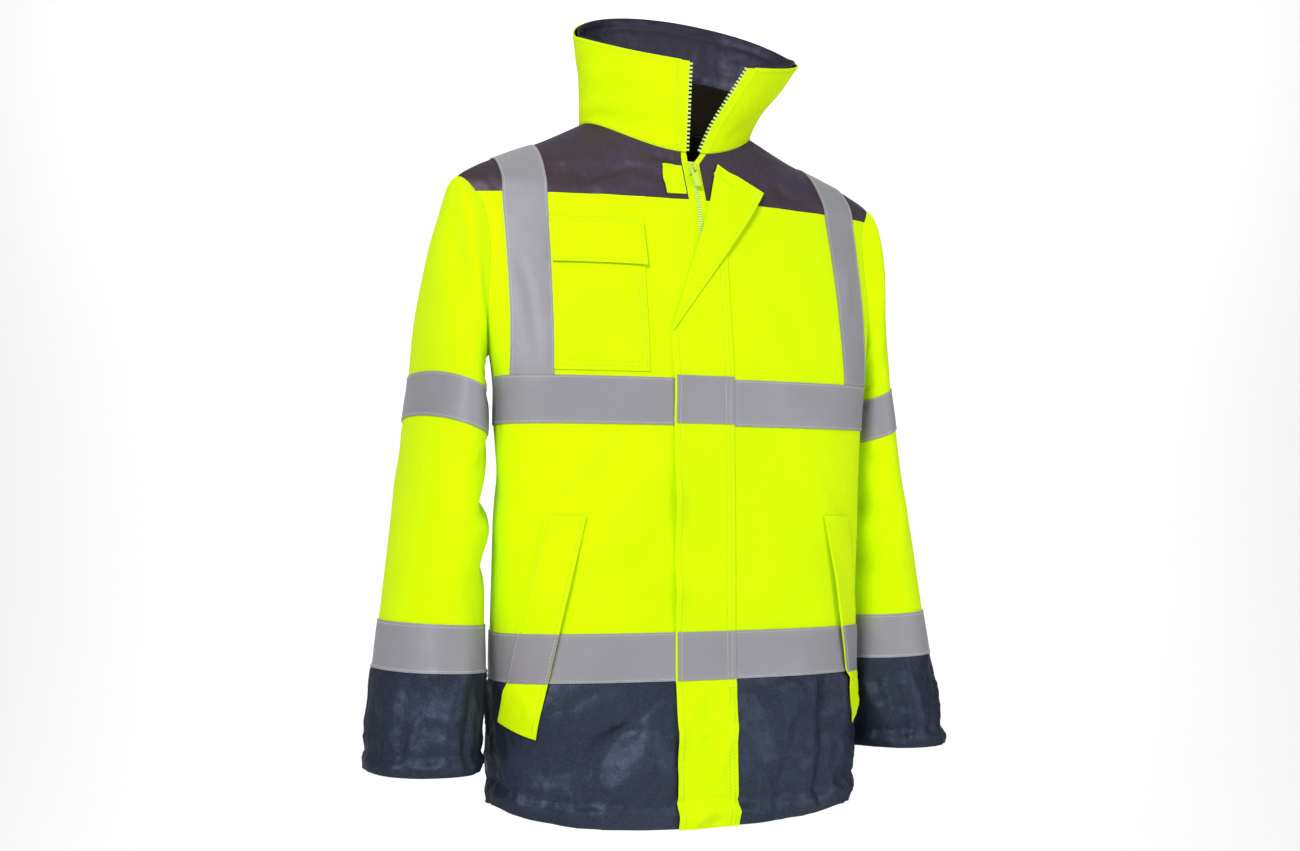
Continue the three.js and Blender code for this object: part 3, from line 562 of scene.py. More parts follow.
def make_object(name, vertices, polygons, materials, indices=None, sharp=None, uv=None):
    mesh = bpy.data.meshes.new(name)
    mesh.from_pydata((np.asarray(vertices) * MM).tolist(), [], polygons)
    for material in materials:
        mesh.materials.append(material)
    mesh.polygons.foreach_set("use_smooth", [True] * len(mesh.polygons))
    if indices is not None:
        mesh.polygons.foreach_set("material_index", indices)
    if sharp:
        flags = [tuple(sorted(edge.vertices)) in sharp for edge in mesh.edges]
        attribute = mesh.attributes.new("sharp_edge", "BOOLEAN", "EDGE")
        attribute.data.foreach_set("value", flags)
    if uv is not None:
        layer = mesh.uv_layers.new(name="cloth")
        corners = np.empty(len(mesh.loops), int)
        mesh.loops.foreach_get("vertex_index", corners)
        layer.data.foreach_set("uv", np.asarray(uv)[corners].astype(np.float32).ravel())
    mesh.validate()
    mesh.update()
    thing = bpy.data.objects.new(name, mesh)
    bpy.context.scene.collection.objects.link(thing)
    return thing


def cloth(name, surface, us, vs, layer, materials, cuts=(), closed=False, around=1150.0, steps=None,
          round_rim=False, lift=None):
    """A thin closed shell of cloth on a surface, between the two offsets of its layer."""
    u, v, polygons = grid(us, vs, closed)
    for cut in cuts:
        u, v, polygons = clip(u, v, polygons, cut)
    u, v, polygons = largest_part(u, v, polygons)
    extra = 0.0 if lift is None else lift(u, v)
    outer = surface.at(u, v, layer[1] + extra)
    inner = surface.at(u, v, layer[0] + (0.0 if lift is None else extra * 0.9))
    if surface.mirror:
        polygons = [polygon[::-1] for polygon in polygons]
    count = len(u)
    directed = {}
    for polygon in polygons:
        for a, b in zip(polygon, polygon[1:] + polygon[:1]):
            directed[(a, b)] = True
    border = [edge for edge in directed if (edge[1], edge[0]) not in directed]
    normals = surface.normal(u, v)
    away = np.zeros((count, 3))
    for a, b in border:
        direction = outer[b] - outer[a]
        size = np.linalg.norm(direction)
        if size > 1e-6:
            side = np.cross(direction / size, normals[a])
            away[a] += side
            away[b] += side
    size = np.linalg.norm(away, axis=1, keepdims=True)
    away = np.where(size > 1e-6, away / np.maximum(size, 1e-6), 0)
    lengths = np.concatenate([[0], np.cumsum(steps if steps is not None else TORSO_STEPS)])
    metric = np.stack([u * around, np.interp(v, np.arange(len(lengths)), lengths)], 1) * MM
    vertices = [outer, inner]
    uvs = [metric, metric]
    faces = [list(polygon) for polygon in polygons]
    indices = [0] * len(faces)
    back = 1 if len(materials) > 1 else 0
    faces += [[i + count for i in polygon[::-1]] for polygon in polygons]
    indices += [back] * len(polygons)
    sharp = set()
    if round_rim:
        thick = layer[1] - layer[0]
        ring_ids = sorted({i for edge in border for i in edge})
        position = {i: n for n, i in enumerate(ring_ids)}
        profile = ((0.22, 0.08), (0.42, 0.3), (0.42, 0.7), (0.22, 0.92))
        rings = [{i: i for i in ring_ids}]
        base = 2 * count
        for push, share in profile:
            ring = (outer * (1 - share) + inner * share + away * push * thick)[ring_ids]
            vertices.append(ring)
            uvs.append(metric[ring_ids])
            rings.append({i: base + position[i] for i in ring_ids})
            base += len(ring_ids)
        rings.append({i: i + count for i in ring_ids})
        for upper, lower in zip(rings, rings[1:]):
            for a, b in border:
                faces.append([upper[b], upper[a], lower[a], lower[b]])
                indices.append(0)
    else:
        for a, b in border:
            faces.append([b, a, a + count, b + count])
            indices.append(0)
            sharp.add((min(a, b), max(a, b)))
            sharp.add((min(a, b) + count, max(a, b) + count))
    thing = make_object("cloth_" + name, np.concatenate(vertices), faces, materials, indices, sharp,
                        np.concatenate(uvs))
    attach(thing, "jacket")
    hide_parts(name)
    return thing


# Fields for cuts, above 0 where the cloth stays

def above(z):
    return lambda u, v: torso_base(u, v)[:, 2] - z


def below(z):
    return lambda u, v: z - torso_base(u, v)[:, 2]


def right_of(x):
    """Towards the wearer's right, where x is lower."""
    return lambda u, v: x - torso_base(u, v)[:, 0]


def left_of(x):
    return lambda u, v: torso_base(u, v)[:, 0] - x


def left_of_zip(distance):
    """On the left of a line beside the zip, which leans out above the slider."""

    def field(u, v):
        points = torso_base(u, v)
        return points[:, 0] - ZIP_X - distance - ZIP_LEAN * np.maximum(points[:, 2] - ZIP_OPEN_Z, 0)

    return field


def in_front(u, v):
    return -torso_base(u, v)[:, 1] - SEAM / 2


def behind(u, v):
    return torso_base(u, v)[:, 1] - SEAM / 2


def left_of_line(start, end):
    """On the left of a line across the front, seen from the front."""
    (x0, z0), (x1, z1) = start, end
    length = math.hypot(x1 - x0, z1 - z0)

    def field(u, v):
        points = torso_base(u, v)
        return ((x1 - x0) * (points[:, 2] - z0) - (z1 - z0) * (points[:, 0] - x0)) / length

    return field


def polygon_cuts(corners):
    return [left_of_line(a, b) for a, b in zip(corners, corners[1:] + corners[:1])]


# Distance that stands for "far off", and where the armholes lie on the body
FAR = 50.0
ARMHOLE_X = 165
ARMHOLE_Z = (-330, -55)


def tree_of(surface, us, vs, lift):
    u, v, polygons = grid(us, vs, True)
    points = surface.at(u, v, lift)
    if surface.mirror:
        polygons = [polygon[::-1] for polygon in polygons]
    return BVHTree.FromPolygons(points.tolist(), polygons)


def distance_to(tree, points, near):
    """Signed distance out of a surface, for the points that are near it."""
    result = np.full(len(points), FAR)
    for i in np.nonzero(near)[0]:
        place, normal, _, _ = tree.find_nearest(Vector(points[i]))
        result[i] = (Vector(points[i]) - place).dot(normal)
    return result


sleeve_trees = {
    side: tree_of(sleeve, np.linspace(0, 1, 97)[:-1], places(SLEEVE_STEPS, 6), 0.1)
    for side, sleeve in sleeves.items()
}
torso_tree = tree_of(torso, np.linspace(0, 1, 231)[:-1], places(TORSO_STEPS, 6), 0.1)


def outside_sleeves(lift):
    """Cuts the body's cloth where a sleeve covers it."""

    def field(u, v):
        points = torso.at(u, v, lift)
        result = np.full(len(u), FAR)
        at_armhole = (points[:, 2] > ARMHOLE_Z[0]) & (points[:, 2] < ARMHOLE_Z[1])
        for side, sign in (("left", 1), ("right", -1)):
            near = (points[:, 0] * sign > ARMHOLE_X) & at_armhole
            result = np.minimum(result, distance_to(sleeve_trees[side], points, near))
        return result

    return field


def outside_torso(surface, lift):
    """Cuts a sleeve's cloth inside the body; only its upper rings can reach it."""

    def field(u, v):
        points = surface.at(u, v, lift)
        return distance_to(torso_tree, points, v < 7.5)

    return field


# Materials

def new_material(name, color, roughness, **values):
    material = bpy.data.materials.new(name)
    material.use_nodes = True
    shader = material.node_tree.nodes["Principled BSDF"]
    shader.inputs["Base Color"].default_value = (*color, 1)
    shader.inputs["Roughness"].default_value = roughness
    for key, value in values.items():
        shader.inputs[key.replace("_", " ")].default_value = value
    return material, material.node_tree, shader


def node(tree, kind, **values):
    made = tree.nodes.new(kind)
    for key, value in values.items():
        if key in made.inputs:
            made.inputs[key].default_value = value
        else:
            setattr(made, key, value)
    return made


def math_node(tree, operation, a, b=None):
    made = tree.nodes.new("ShaderNodeMath")
    made.operation = operation
    for socket, value in zip(made.inputs, (a, b)):
        if value is None:
            continue
        if hasattr(value, "is_linked"):
            tree.links.new(value, socket)
        else:
            socket.default_value = value
    return made.outputs[0]


def plus(tree, a, b):
    return math_node(tree, "ADD", a, b)


def times(tree, a, b):
    return math_node(tree, "MULTIPLY", a, b)


def mixed_color(tree, factor, first, second):
    mix = tree.nodes.new("ShaderNodeMix")
    mix.data_type = "RGBA"
    tree.links.new(factor, mix.inputs["Factor"])
    for socket, value in ((mix.inputs["A"], first), (mix.inputs["B"], second)):
        if hasattr(value, "is_linked"):
            tree.links.new(value, socket)
        else:
            socket.default_value = (*value, 1)
    return mix.outputs["Result"]


def ramp(tree, value, low, high):
    made = node(tree, "ShaderNodeMapRange")
    made.inputs["From Min"].default_value = low
    made.inputs["From Max"].default_value = high
    tree.links.new(value, made.inputs["Value"])
    return made.outputs["Result"]


def noise(tree, coordinates, scale, detail=2.0):
    made = node(tree, "ShaderNodeTexNoise", Scale=scale, Detail=detail)
    tree.links.new(coordinates, made.inputs["Vector"])
    return made.outputs["Fac"]


def bump_up(tree, shader, height, strength, distance=1.0):
    """Lets a height stand up in the shading; its unit is the metre where the distance is 1."""
    bump = node(tree, "ShaderNodeBump", Strength=strength, Distance=distance)
    tree.links.new(height, bump.inputs["Height"])
    tree.links.new(bump.outputs["Normal"], shader.inputs["Normal"])


def object_place(tree):
    return node(tree, "ShaderNodeTexCoord").outputs["Object"]


def weave(tree, pitch):
    """Plain weave of warp and weft threads, from the cloth's own metric coordinates."""
    uv = node(tree, "ShaderNodeUVMap", uv_map="cloth")
    split = node(tree, "ShaderNodeSeparateXYZ")
    tree.links.new(uv.outputs["UV"], split.inputs[0])
    turns = 2 * math.pi / pitch
    warp = math_node(tree, "SINE", times(tree, split.outputs[0], turns))
    weft = math_node(tree, "SINE", times(tree, split.outputs[1], turns))
    return times(tree, warp, weft)


def worn(tree, color, wear):
    """Lighter and a little worn where an edge or a ridge stands out."""
    edge = ramp(tree, node(tree, "ShaderNodeNewGeometry").outputs["Pointiness"], 0.52, 0.62)
    return mixed_color(tree, times(tree, edge, 0.35), color, wear)


def cloth_material(name, dark, light, wear, roughness, pitch, weave_height, glint=0.0, crumple=0.0011,
                   dents=0.0, **values):
    """Woven cloth with soft patches of colour, painted glints where asked, a weave that stands up, and slight
    crumple.
    """
    material, tree, shader = new_material(name, light, roughness, **values)
    place = object_place(tree)
    # Patches of colour at random; on the yoke they are painted sheen
    patches = ramp(tree, noise(tree, place, 9.0, 4.0), 0.3, 0.7)
    color = worn(tree, mixed_color(tree, patches, dark, light), wear)
    threads = weave(tree, pitch)
    # Painted glints: fine lighter blue-grey specks mixed into the base colour
    if glint:
        painted_glint = ramp(tree, noise(tree, place, 1000.0, 1.0), 0.5, 0.8)
        color = mixed_color(tree, times(tree, painted_glint, glint), color, (0.26, 0.3, 0.38))
    tree.links.new(color, shader.inputs["Base Color"])
    wrinkles = times(tree, noise(tree, place, 120.0, 3.0), crumple)
    height = plus(tree, times(tree, threads, weave_height), wrinkles)
    if dents:
        height = plus(tree, height, times(tree, noise(tree, place, 34.0, 1.5), dents))
    bump_up(tree, shader, height, 0.55)
    uneven = ramp(tree, noise(tree, place, 60.0, 2.0), 0.25, 0.75)
    low = times(tree, uneven, 0.12)
    tree.links.new(plus(tree, low, roughness - 0.06), shader.inputs["Roughness"])
    return material


# Coated cloth shines broadly but stays dark at its rims
COATED = {"Specular_IOR_Level": 0.2, "Specular_Tint": (0.15, 0.15, 0.18, 1)}

# Distance between two threads of the weave, in metres
COARSE = 0.0011
FINE = 0.0008

yellow = cloth_material(
    "yellow cloth", (0.605, 0.86, 0.0), (0.66, 0.91, 0.0), (0.72, 0.92, 0.02), 0.85, COARSE, 0.00003,
    crumple=0.0008, Specular_IOR_Level=0.06, Sheen_Weight=0.02,
)
navy = cloth_material(
    "navy cloth", (0.024, 0.031, 0.052), (0.043, 0.053, 0.081), (0.075, 0.085, 0.11), 0.49, COARSE, 0.00005,
    glint=0.16, crumple=0.0014, dents=0.012, Metallic=0.6, **COATED,
)
# Yoke cloth: its dark colour is its own, and the brown and purple patches across it are painted sheen
yoke_cloth = cloth_material(
    "yoke cloth", (0.072, 0.050, 0.042), (0.074, 0.060, 0.112), (0.10, 0.08, 0.10), 0.47, COARSE, 0.00004,
    glint=0.08, crumple=0.0014, dents=0.009, Metallic=0.5, **COATED,
)
padding = cloth_material(
    "collar padding", (0.036, 0.034, 0.052), (0.060, 0.057, 0.084), (0.08, 0.08, 0.10), 0.5, FINE, 0.00002,
    glint=0.05, crumple=0.0012, dents=0.006, Metallic=0.6, **COATED,
)
lining = cloth_material(
    "lining", (0.007, 0.005, 0.003), (0.012, 0.009, 0.006), (0.03, 0.026, 0.026), 0.8, FINE, 0.00002,
    Specular_IOR_Level=0.05,
)


def tape_material():
    material, tree, shader = new_material("reflective tape", (0.3, 0.29, 0.31), 0.54,
                                          Metallic=0.1, Specular_IOR_Level=0.35)
    place = object_place(tree)
    patches = ramp(tree, noise(tree, place, 14.0, 3.0), 0.3, 0.7)
    color = mixed_color(tree, patches, (0.245, 0.240, 0.262), (0.278, 0.274, 0.304))
    # Darker, warmer patches at random over the tape
    warm_dark_patches = ramp(tree, noise(tree, place, 7.0, 2.0), 0.55, 0.75)
    color = mixed_color(tree, times(tree, warm_dark_patches, 0.45), color, (0.215, 0.195, 0.205))
    grains = ramp(tree, noise(tree, place, 1800.0, 1.0), 0.35, 0.75)
    color = mixed_color(tree, times(tree, grains, 0.2), color, (0.35, 0.345, 0.365))
    tree.links.new(worn(tree, color, (0.36, 0.355, 0.37)), shader.inputs["Base Color"])
    beads = times(tree, noise(tree, place, 1500.0, 1.0), 0.00008)
    height = plus(tree, beads, times(tree, noise(tree, place, 90.0, 2.0), 0.0007))
    bump_up(tree, shader, height, 0.5)
    return material


def plain_material(name, dark, light, roughness, scale, **values):
    """Thread or moulded plastic, with fine unevenness of colour and surface."""
    material, tree, shader = new_material(name, light, roughness, **values)
    place = object_place(tree)
    grain = noise(tree, place, scale, 2.0)
    color = mixed_color(tree, ramp(tree, grain, 0.3, 0.7), dark, light)
    wear = [value * 0.8 + 0.1 for value in light]
    tree.links.new(worn(tree, color, wear), shader.inputs["Base Color"])
    rough = plus(tree, times(tree, grain, 0.15), roughness - 0.07)
    tree.links.new(rough, shader.inputs["Roughness"])
    bump_up(tree, shader, grain, 0.25, 0.0002)
    return material


THREAD_GRAIN = 1500.0

tape = tape_material()
teeth_material = plain_material("zip teeth", (0.55, 0.72, 0.16), (0.68, 0.86, 0.22), 0.45, 900.0)
hardware = plain_material("zip hardware", (0.5, 0.68, 0.03), (0.62, 0.82, 0.05), 0.4, 400.0)
thread_yellow = plain_material("yellow thread", (0.40, 0.54, 0.0), (0.52, 0.68, 0.0), 0.9, THREAD_GRAIN,
                               Specular_IOR_Level=0.1)
thread_navy = plain_material("navy thread", (0.008, 0.010, 0.018), (0.018, 0.02, 0.03), 0.7, THREAD_GRAIN)
thread_grey = plain_material("grey thread", (0.55, 0.55, 0.57), (0.7, 0.7, 0.72), 0.8, THREAD_GRAIN,
                             Specular_IOR_Level=0.2)

# The torso

FRONT_RIGHT = np.linspace(0.46, 0.76, 73)
FRONT_LEFT = np.linspace(0.74, 1.04, 73)
BACK = np.linspace(-0.07, 0.57, 150)


def place_range(low_z, high_z):
    """Places of the torso that reach every point between two heights."""
    z = TORSO[:, :3]
    low = max(0, int(np.nonzero(z.max(1) >= low_z)[0][0]) - 1)
    high = min(len(TORSO) - 1, int(np.nonzero(z.min(1) <= high_z)[0][-1]) + 1)
    return places(TORSO_STEPS, 5.0, low, high)


# Heights below and above everything
LOWEST = -900
HIGHEST = 200

SECTIONS = (
    ("hem", (LOWEST, HEM_SEAM - SEAM / 2), navy),
    ("panel", (HEM_SEAM + SEAM / 2, YOKE_EDGE - SEAM / 2), yellow),
    ("yoke", (YOKE_EDGE + SEAM / 2, HIGHEST), yoke_cloth),
)
for section, (low, high), material in SECTIONS:
    limits = [above(low), below(high), outside_sleeves(0.0)]
    rows = place_range(low, high)
    right_cuts = [right_of(ZIP_X - ZIP_HALF_WIDTH), in_front, *limits]
    left_cuts = [left_of_zip(ZIP_HALF_WIDTH), in_front, *limits]
    cloth(f"{section}_front_right", torso, FRONT_RIGHT, rows, PANEL, [material, lining], right_cuts)
    cloth(f"{section}_front_left", torso, FRONT_LEFT, rows, PANEL, [material, lining], left_cuts)
    cloth(f"{section}_back", torso, BACK, rows, PANEL, [material, lining], [behind, *limits])

for band, (low, high) in (("chest_band", CHEST_BAND), ("lower_band", LOWER_BAND)):
    limits = [above(low), below(high), outside_sleeves(TAPE[1])]
    rows = place_range(low, high)
    right_cuts = [right_of(FLAP_FREE_X - SEAM), in_front, *limits]
    left_cuts = [left_of(FLAP_SEWN_X + SEAM), in_front, *limits]
    cloth(f"{band}_right", torso, FRONT_RIGHT, rows, TAPE, [tape], right_cuts)
    cloth(f"{band}_left", torso, FRONT_LEFT, rows, TAPE, [tape], left_cuts)
    cloth(f"{band}_back", torso, BACK, rows, TAPE, [tape], [behind, *limits])

# Inner and outer distance across of a brace: at the band, at the yoke's edge, at the shoulder
BRACE = ((172, 211), (167, 211), (160, 205))
foot = CHEST_BAND[1] + SEAM
BRACE_HEIGHTS = (foot, YOKE_EDGE, 0)


def brace_edge(which):
    """Distance across of a brace's inner (0) or outer (1) edge at a height."""
    return lambda z: np.interp(z, BRACE_HEIGHTS, [row[which] for row in BRACE])


brace_inner = brace_edge(0)
brace_outer = brace_edge(1)


def beside(edge_x, sign, mirror):
    """On the outer side of a brace's edge (sign 1) or on its inner side (sign -1)."""

    def field(u, v):
        points = torso_base(u, v)
        x = points[:, 0] * (-1 if mirror else 1)
        return sign * (x - edge_x(points[:, 2]))

    return field


for side, us, mirror in (
    ("left", np.linspace(-0.26, 0.26, 130), False),
    ("right", np.linspace(0.24, 0.76, 130), True),
):
    cuts = [beside(brace_inner, 1, mirror), beside(brace_outer, -1, mirror)]
    cuts += [above(foot), outside_sleeves(TAPE[1])]
    cloth(f"brace_{side}", torso, us, places(TORSO_STEPS, 4.0, 5, 15), TAPE, [tape], cuts)

# Storm flap and its folded corner

flap_cuts = [right_of(FLAP_SEWN_X), left_of(FLAP_FREE_X), left_of_line(FOLD_TOP, FOLD_LOW), in_front]
corner_cuts = polygon_cuts([FOLD_LOW, FOLD_TIP, FOLD_TOP])
FLAP_TURNS = np.linspace(0.70, 0.80, 44)
CORNER_TURNS = np.linspace(0.70, 0.84, 60)

# Where the flap's free edge gapes: height in the frame, spread along the edge, lift
FLAP_GAPES = ((-413, 26, 4.5), (-503, 18, 3.5), (-655, 22, 2.5))


def flap_lift(u, v):
    """The flap's free edge stands a little off the front, unevenly."""
    points = torso_base(u, v)
    edge = bell(points[:, 0], FLAP_FREE_X, 12)
    uneven = 0.5 + 0.5 * lattice_noise(points * [0, 0, 1] + [7, 3, 0], 42, 31)
    lift = 2.4 * edge * uneven * smooth((-240 - points[:, 2]) / 30)
    for place, spread, height in FLAP_GAPES:
        lift += height * edge * bell(points[:, 2], place, spread)
    return lift


def corner_lift(u, v):
    """The folded corner rises softly towards its tip."""
    points = torso_base(u, v)
    away = left_of_line(FOLD_TOP, FOLD_LOW)(u, v)
    return 0.5 + 2.5 * smooth(away / 60) + 0.4 * lattice_noise(points, 25, 33)


def tape_on_flap(name, band):
    cuts = [left_of(FLAP_FREE_X + 1.4), right_of(FLAP_SEWN_X - 0.2), above(band[0]), below(band[1])]
    return cloth(name, torso, FLAP_TURNS, place_range(*band), UPPER_TAPE, [tape], cuts, lift=flap_lift)


flap_rows = places(TORSO_STEPS, 4.0, 0, 15)
corner_rows = places(TORSO_STEPS, 4.0, 6, 15)
storm_flap = cloth("storm_flap", torso, FLAP_TURNS, flap_rows, FLAP, [yellow], flap_cuts, round_rim=True,
                   lift=flap_lift)
corner = cloth("storm_flap", torso, CORNER_TURNS, corner_rows, UPPER, [yellow], corner_cuts, round_rim=True,
               lift=corner_lift)
corner.name = "cloth_storm_flap_corner"
tape_on_flap("flap_tape_chest", (CHEST_BAND[0] + 2, CHEST_BAND[1] + 3))
tape_on_flap("flap_tape_lower", LOWER_BAND)

# Chest pocket, its flap and the small tab

POCKET_X = -72
POCKET_BOTTOM = -275


def patch_cuts(center_x, top, bottom):
    """A patch from a line near the zip to the inner edge of the right brace."""
    low, high = SEAM - brace_inner(bottom), SEAM - brace_inner(top)
    return polygon_cuts([(low, bottom), (center_x, bottom), (center_x, top), (high, top)])


POCKET_TURNS = np.linspace(0.56, 0.74, 80)


def pocket_lift(u, v):
    """A patch pocket lies a little full between its seams."""
    x, _, z = torso_base(u, v).T
    across = smooth((POCKET_X - x) / 22) * smooth((x + BRACE[0][0]) / 22)
    return 1.6 * across * smooth((z - POCKET_BOTTOM) / 16) * smooth((-150 - z) / 30)


def pocket_flap_lift(u, v):
    """The free lower edge of the flap stands off the pocket."""
    points = torso_base(u, v)
    return 0.3 + 2.8 * smooth((-122 - points[:, 2]) / 42) + 0.5 * lattice_noise(points, 28, 35)


cloth("chest_pocket", torso, POCKET_TURNS, place_range(-290, -110), FLAP, [yellow],
      patch_cuts(POCKET_X, -122, POCKET_BOTTOM), round_rim=True, lift=pocket_lift)
cloth("chest_pocket_flap", torso, POCKET_TURNS, place_range(-170, -110), UPPER, [yellow],
      patch_cuts(-70, -117, -164), round_rim=True, lift=pocket_flap_lift)
tab_cuts = polygon_cuts([(-38, -83), (-17, -83), (-17, -52), (-38, -52)])
cloth("hook_tab", torso, np.linspace(0.70, 0.76, 26), places(TORSO_STEPS, 3.0, 10, 15), FLAP, [yellow],
      tab_cuts, round_rim=True)


# Slanted welts of the lower pockets

def place_at_height(u, z):
    low = np.zeros(len(u))
    high = np.full(len(u), len(TORSO) - 1.0)
    for _ in range(30):
        middle = (low + high) / 2
        under = torso_base(u, middle)[:, 2] < z
        low = np.where(under, middle, low)
        high = np.where(under, high, middle)
    return (low + high) / 2


WELT_TOP = -425.0
WELT_BOTTOM = -650.0
WELT_SLANT = 16.0
WELT_LENGTH = 226

# Degrees round the torso of the welt's front and back edge, at its foot and at its top
WELT_FRONT = (31.4, 53.6)
WELT_BACK = (8.9, 37.3)
WELTS = []


class WeltStrip(Surface):
    """Part of the torso's surface that a welt covers; u goes across it and v up it."""

    def __init__(self, mirror):
        super().__init__(None, None, 1.0)
        self.flip = mirror

    def height(self, u, v):
        end = WELT_BOTTOM + WELT_SLANT * u
        return end + (WELT_TOP - end) * v

    def on_torso(self, u, v):
        front = WELT_FRONT[0] + (WELT_FRONT[1] - WELT_FRONT[0]) * v
        back = WELT_BACK[0] + (WELT_BACK[1] - WELT_BACK[0]) * v
        turn = 1 - (front + (back - front) * u) / 360
        if self.flip:
            turn = 1.5 - turn
        return turn, place_at_height(turn, self.height(u, v))

    def at(self, u, v, lift=0.0):
        return torso.at(*self.on_torso(u, v), lift)

    def normal(self, u, v):
        return torso.normal(*self.on_torso(u, v))


def welt_lift(u, v):
    """The front edge of a welt gapes a little between its sewn ends."""
    return 3.2 * bell(u, 0, 0.3) * smooth((0.95 - v) / 0.3) * smooth((v - 0.1) / 0.3)


def welt(side, mirror):
    strip = WeltStrip(mirror)
    us = np.linspace(0, 1, 12)[::-1] if mirror else np.linspace(0, 1, 12)
    extra = {"around": 40, "steps": [WELT_LENGTH], "round_rim": True, "lift": welt_lift}
    on_band = [
        lambda u, v: strip.height(u, v) - LOWER_BAND[0],
        lambda u, v: LOWER_BAND[1] - strip.height(u, v),
    ]
    cloth(f"welt_{side}", strip, us, np.linspace(0, 1, 46), WELT, [yellow], **extra)
    cloth(f"welt_tape_{side}", strip, us, np.linspace(0.15, 0.7, 36), WELT_TAPE, [tape], on_band, **extra)
    WELTS.append(strip)


welt("left", False)
welt("right", True)

# Sleeves

# Half the gap at a seam of the sleeve or collar, as a share of a row
ROW_GAP = 0.004
SLEEVE_TURNS = np.linspace(0, 1, 89)[:-1]
for side, sleeve in sleeves.items():
    extra = {"around": 420.0, "steps": SLEEVE_STEPS, "closed": True}
    rows = places(SLEEVE_STEPS, 5.0, 0, SLEEVE_SEAM - ROW_GAP)
    cloth(f"sleeve_{side}", sleeve, SLEEVE_TURNS, rows, PANEL, [yellow, lining], [outside_torso(sleeve, 0.0)],
          **extra)
    rows = places(SLEEVE_STEPS, 4.0, SLEEVE_SEAM + ROW_GAP, 13)
    cloth(f"cuff_{side}", sleeve, SLEEVE_TURNS, rows, PANEL, [navy, lining], round_rim=True, **extra)
    for name, (low, high) in (("upper", (6, 7)), ("lower", (10, 11))):
        rows = places(SLEEVE_STEPS, 4.0, low, high)
        cloth(f"sleeve_band_{name}_{side}", sleeve, SLEEVE_TURNS, rows, TAPE, [tape], **extra)

# Collar

COLLAR_TURNS = np.linspace(COLLAR_ZIP_SHARE, 1 - COLLAR_ZIP_SHARE, 150)
extra = {"around": 560.0, "steps": COLLAR_STEPS}


def padding_lift(u, v):
    """Soft padding of the inner collar, with short wrinkles and a quilted line under its rim."""
    points = collar_base(u, v)
    long_wrinkles = 1.1 * lattice_noise(points * [1, 1, 0.6], 14, 41)
    wrinkles = long_wrinkles + 0.7 * lattice_noise(points * [1, 1, 1.8], 9, 42)
    quilted = np.minimum(bell(v, QUILT_ROW, 0.05) + bell(v, COLLAR_FACING_TOP, 0.06), 1)
    full = -1.3 - 1.4 * smooth((v - COLLAR_FACING_TOP) / 0.3)
    return full + wrinkles * smooth((3 - v) / 0.2) + 2.2 * quilted


cloth("collar_outer", collar, COLLAR_TURNS, places(COLLAR_STEPS, 3.5), COLLAR_OUTER, [yellow, padding],
      round_rim=True, **extra)
padding_rows = places(COLLAR_STEPS, 3.0, COLLAR_FACING_TOP + ROW_GAP, 3)
cloth("collar_inner", collar, COLLAR_TURNS, padding_rows, COLLAR_INNER, [padding], round_rim=True,
      lift=padding_lift, **extra)
facing_rows = np.array([-0.08, *places(COLLAR_STEPS, 4.0, 0, COLLAR_FACING_TOP - ROW_GAP)])
cloth("collar_facing", collar, COLLAR_TURNS, facing_rows, COLLAR_INNER, [lining], **extra)
collar_rows = places(COLLAR_STEPS, 4.0)
zip_edge = COLLAR_ZIP_SHARE - 0.0006
for side, us in (("left", (0.0, zip_edge)), ("right", (1 - zip_edge, 1.0))):
    cloth(f"collar_zip_{side}", collar, np.linspace(*us, 4), collar_rows, COLLAR_OUTER, [yellow], **extra)

# Neck lining and zip

lining_cuts = [left_of(-110), right_of(110), lambda u, v: torso_base(u, v)[:, 1] - 20, above(LINING_BOTTOM)]
cloth("neck_lining", torso, np.linspace(0.05, 0.45, 90), place_range(-130, 100), LINING, [lining],
      lining_cuts)
edge = ZIP_HALF_WIDTH - SEAM
beside_chain = CHAIN_HALF_WIDTH + SEAM
left_edge = left_of_zip(edge)
strips = (
    ("zip_tape_right", [left_of(ZIP_X - edge), right_of(ZIP_X - beside_chain)]),
    ("zip_chain", [left_of(ZIP_X - CHAIN_HALF_WIDTH), right_of(ZIP_X + CHAIN_HALF_WIDTH), below(ZIP_OPEN_Z)]),
    ("zip_tape_left", [left_of_zip(beside_chain), lambda u, v: -left_edge(u, v)]),
)
zip_turns = np.linspace(0.73, 0.79, 60)
for name, cuts in strips:
    cloth(name, torso, zip_turns, places(TORSO_STEPS, 5.0), ZIP, [yellow], [*cuts, in_front])

for name in ("zip_slider", "zip_pull"):
    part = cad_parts[name]
    part.data.materials.clear()
    part.data.materials.append(hardware)
    bevel = part.modifiers.new("soft edges", "BEVEL")
    bevel.width = 0.0004
    bevel.segments = 3
    bevel.limit_method = "ANGLE"


# Stitches, each row a line of points on a surface with its normals

def line_on(surface, u, v, lift, keep=None, inward=False):
    """Unbroken runs of a line on a surface."""
    u, v = np.broadcast_arrays(np.asarray(u, float), np.asarray(v, float))
    points = surface.at(u, v, lift)
    normals = surface.normal(u, v) * (-1 if inward else 1)
    keep = np.ones(len(u), bool) if keep is None else keep
    runs = []
    start = None
    for i, stays in enumerate([*keep, False]):
        if stays and start is None:
            start = i
        if not stays and start is not None:
            if i - start > 3:
                runs.append((points[start:i], normals[start:i]))
            start = None
    return runs


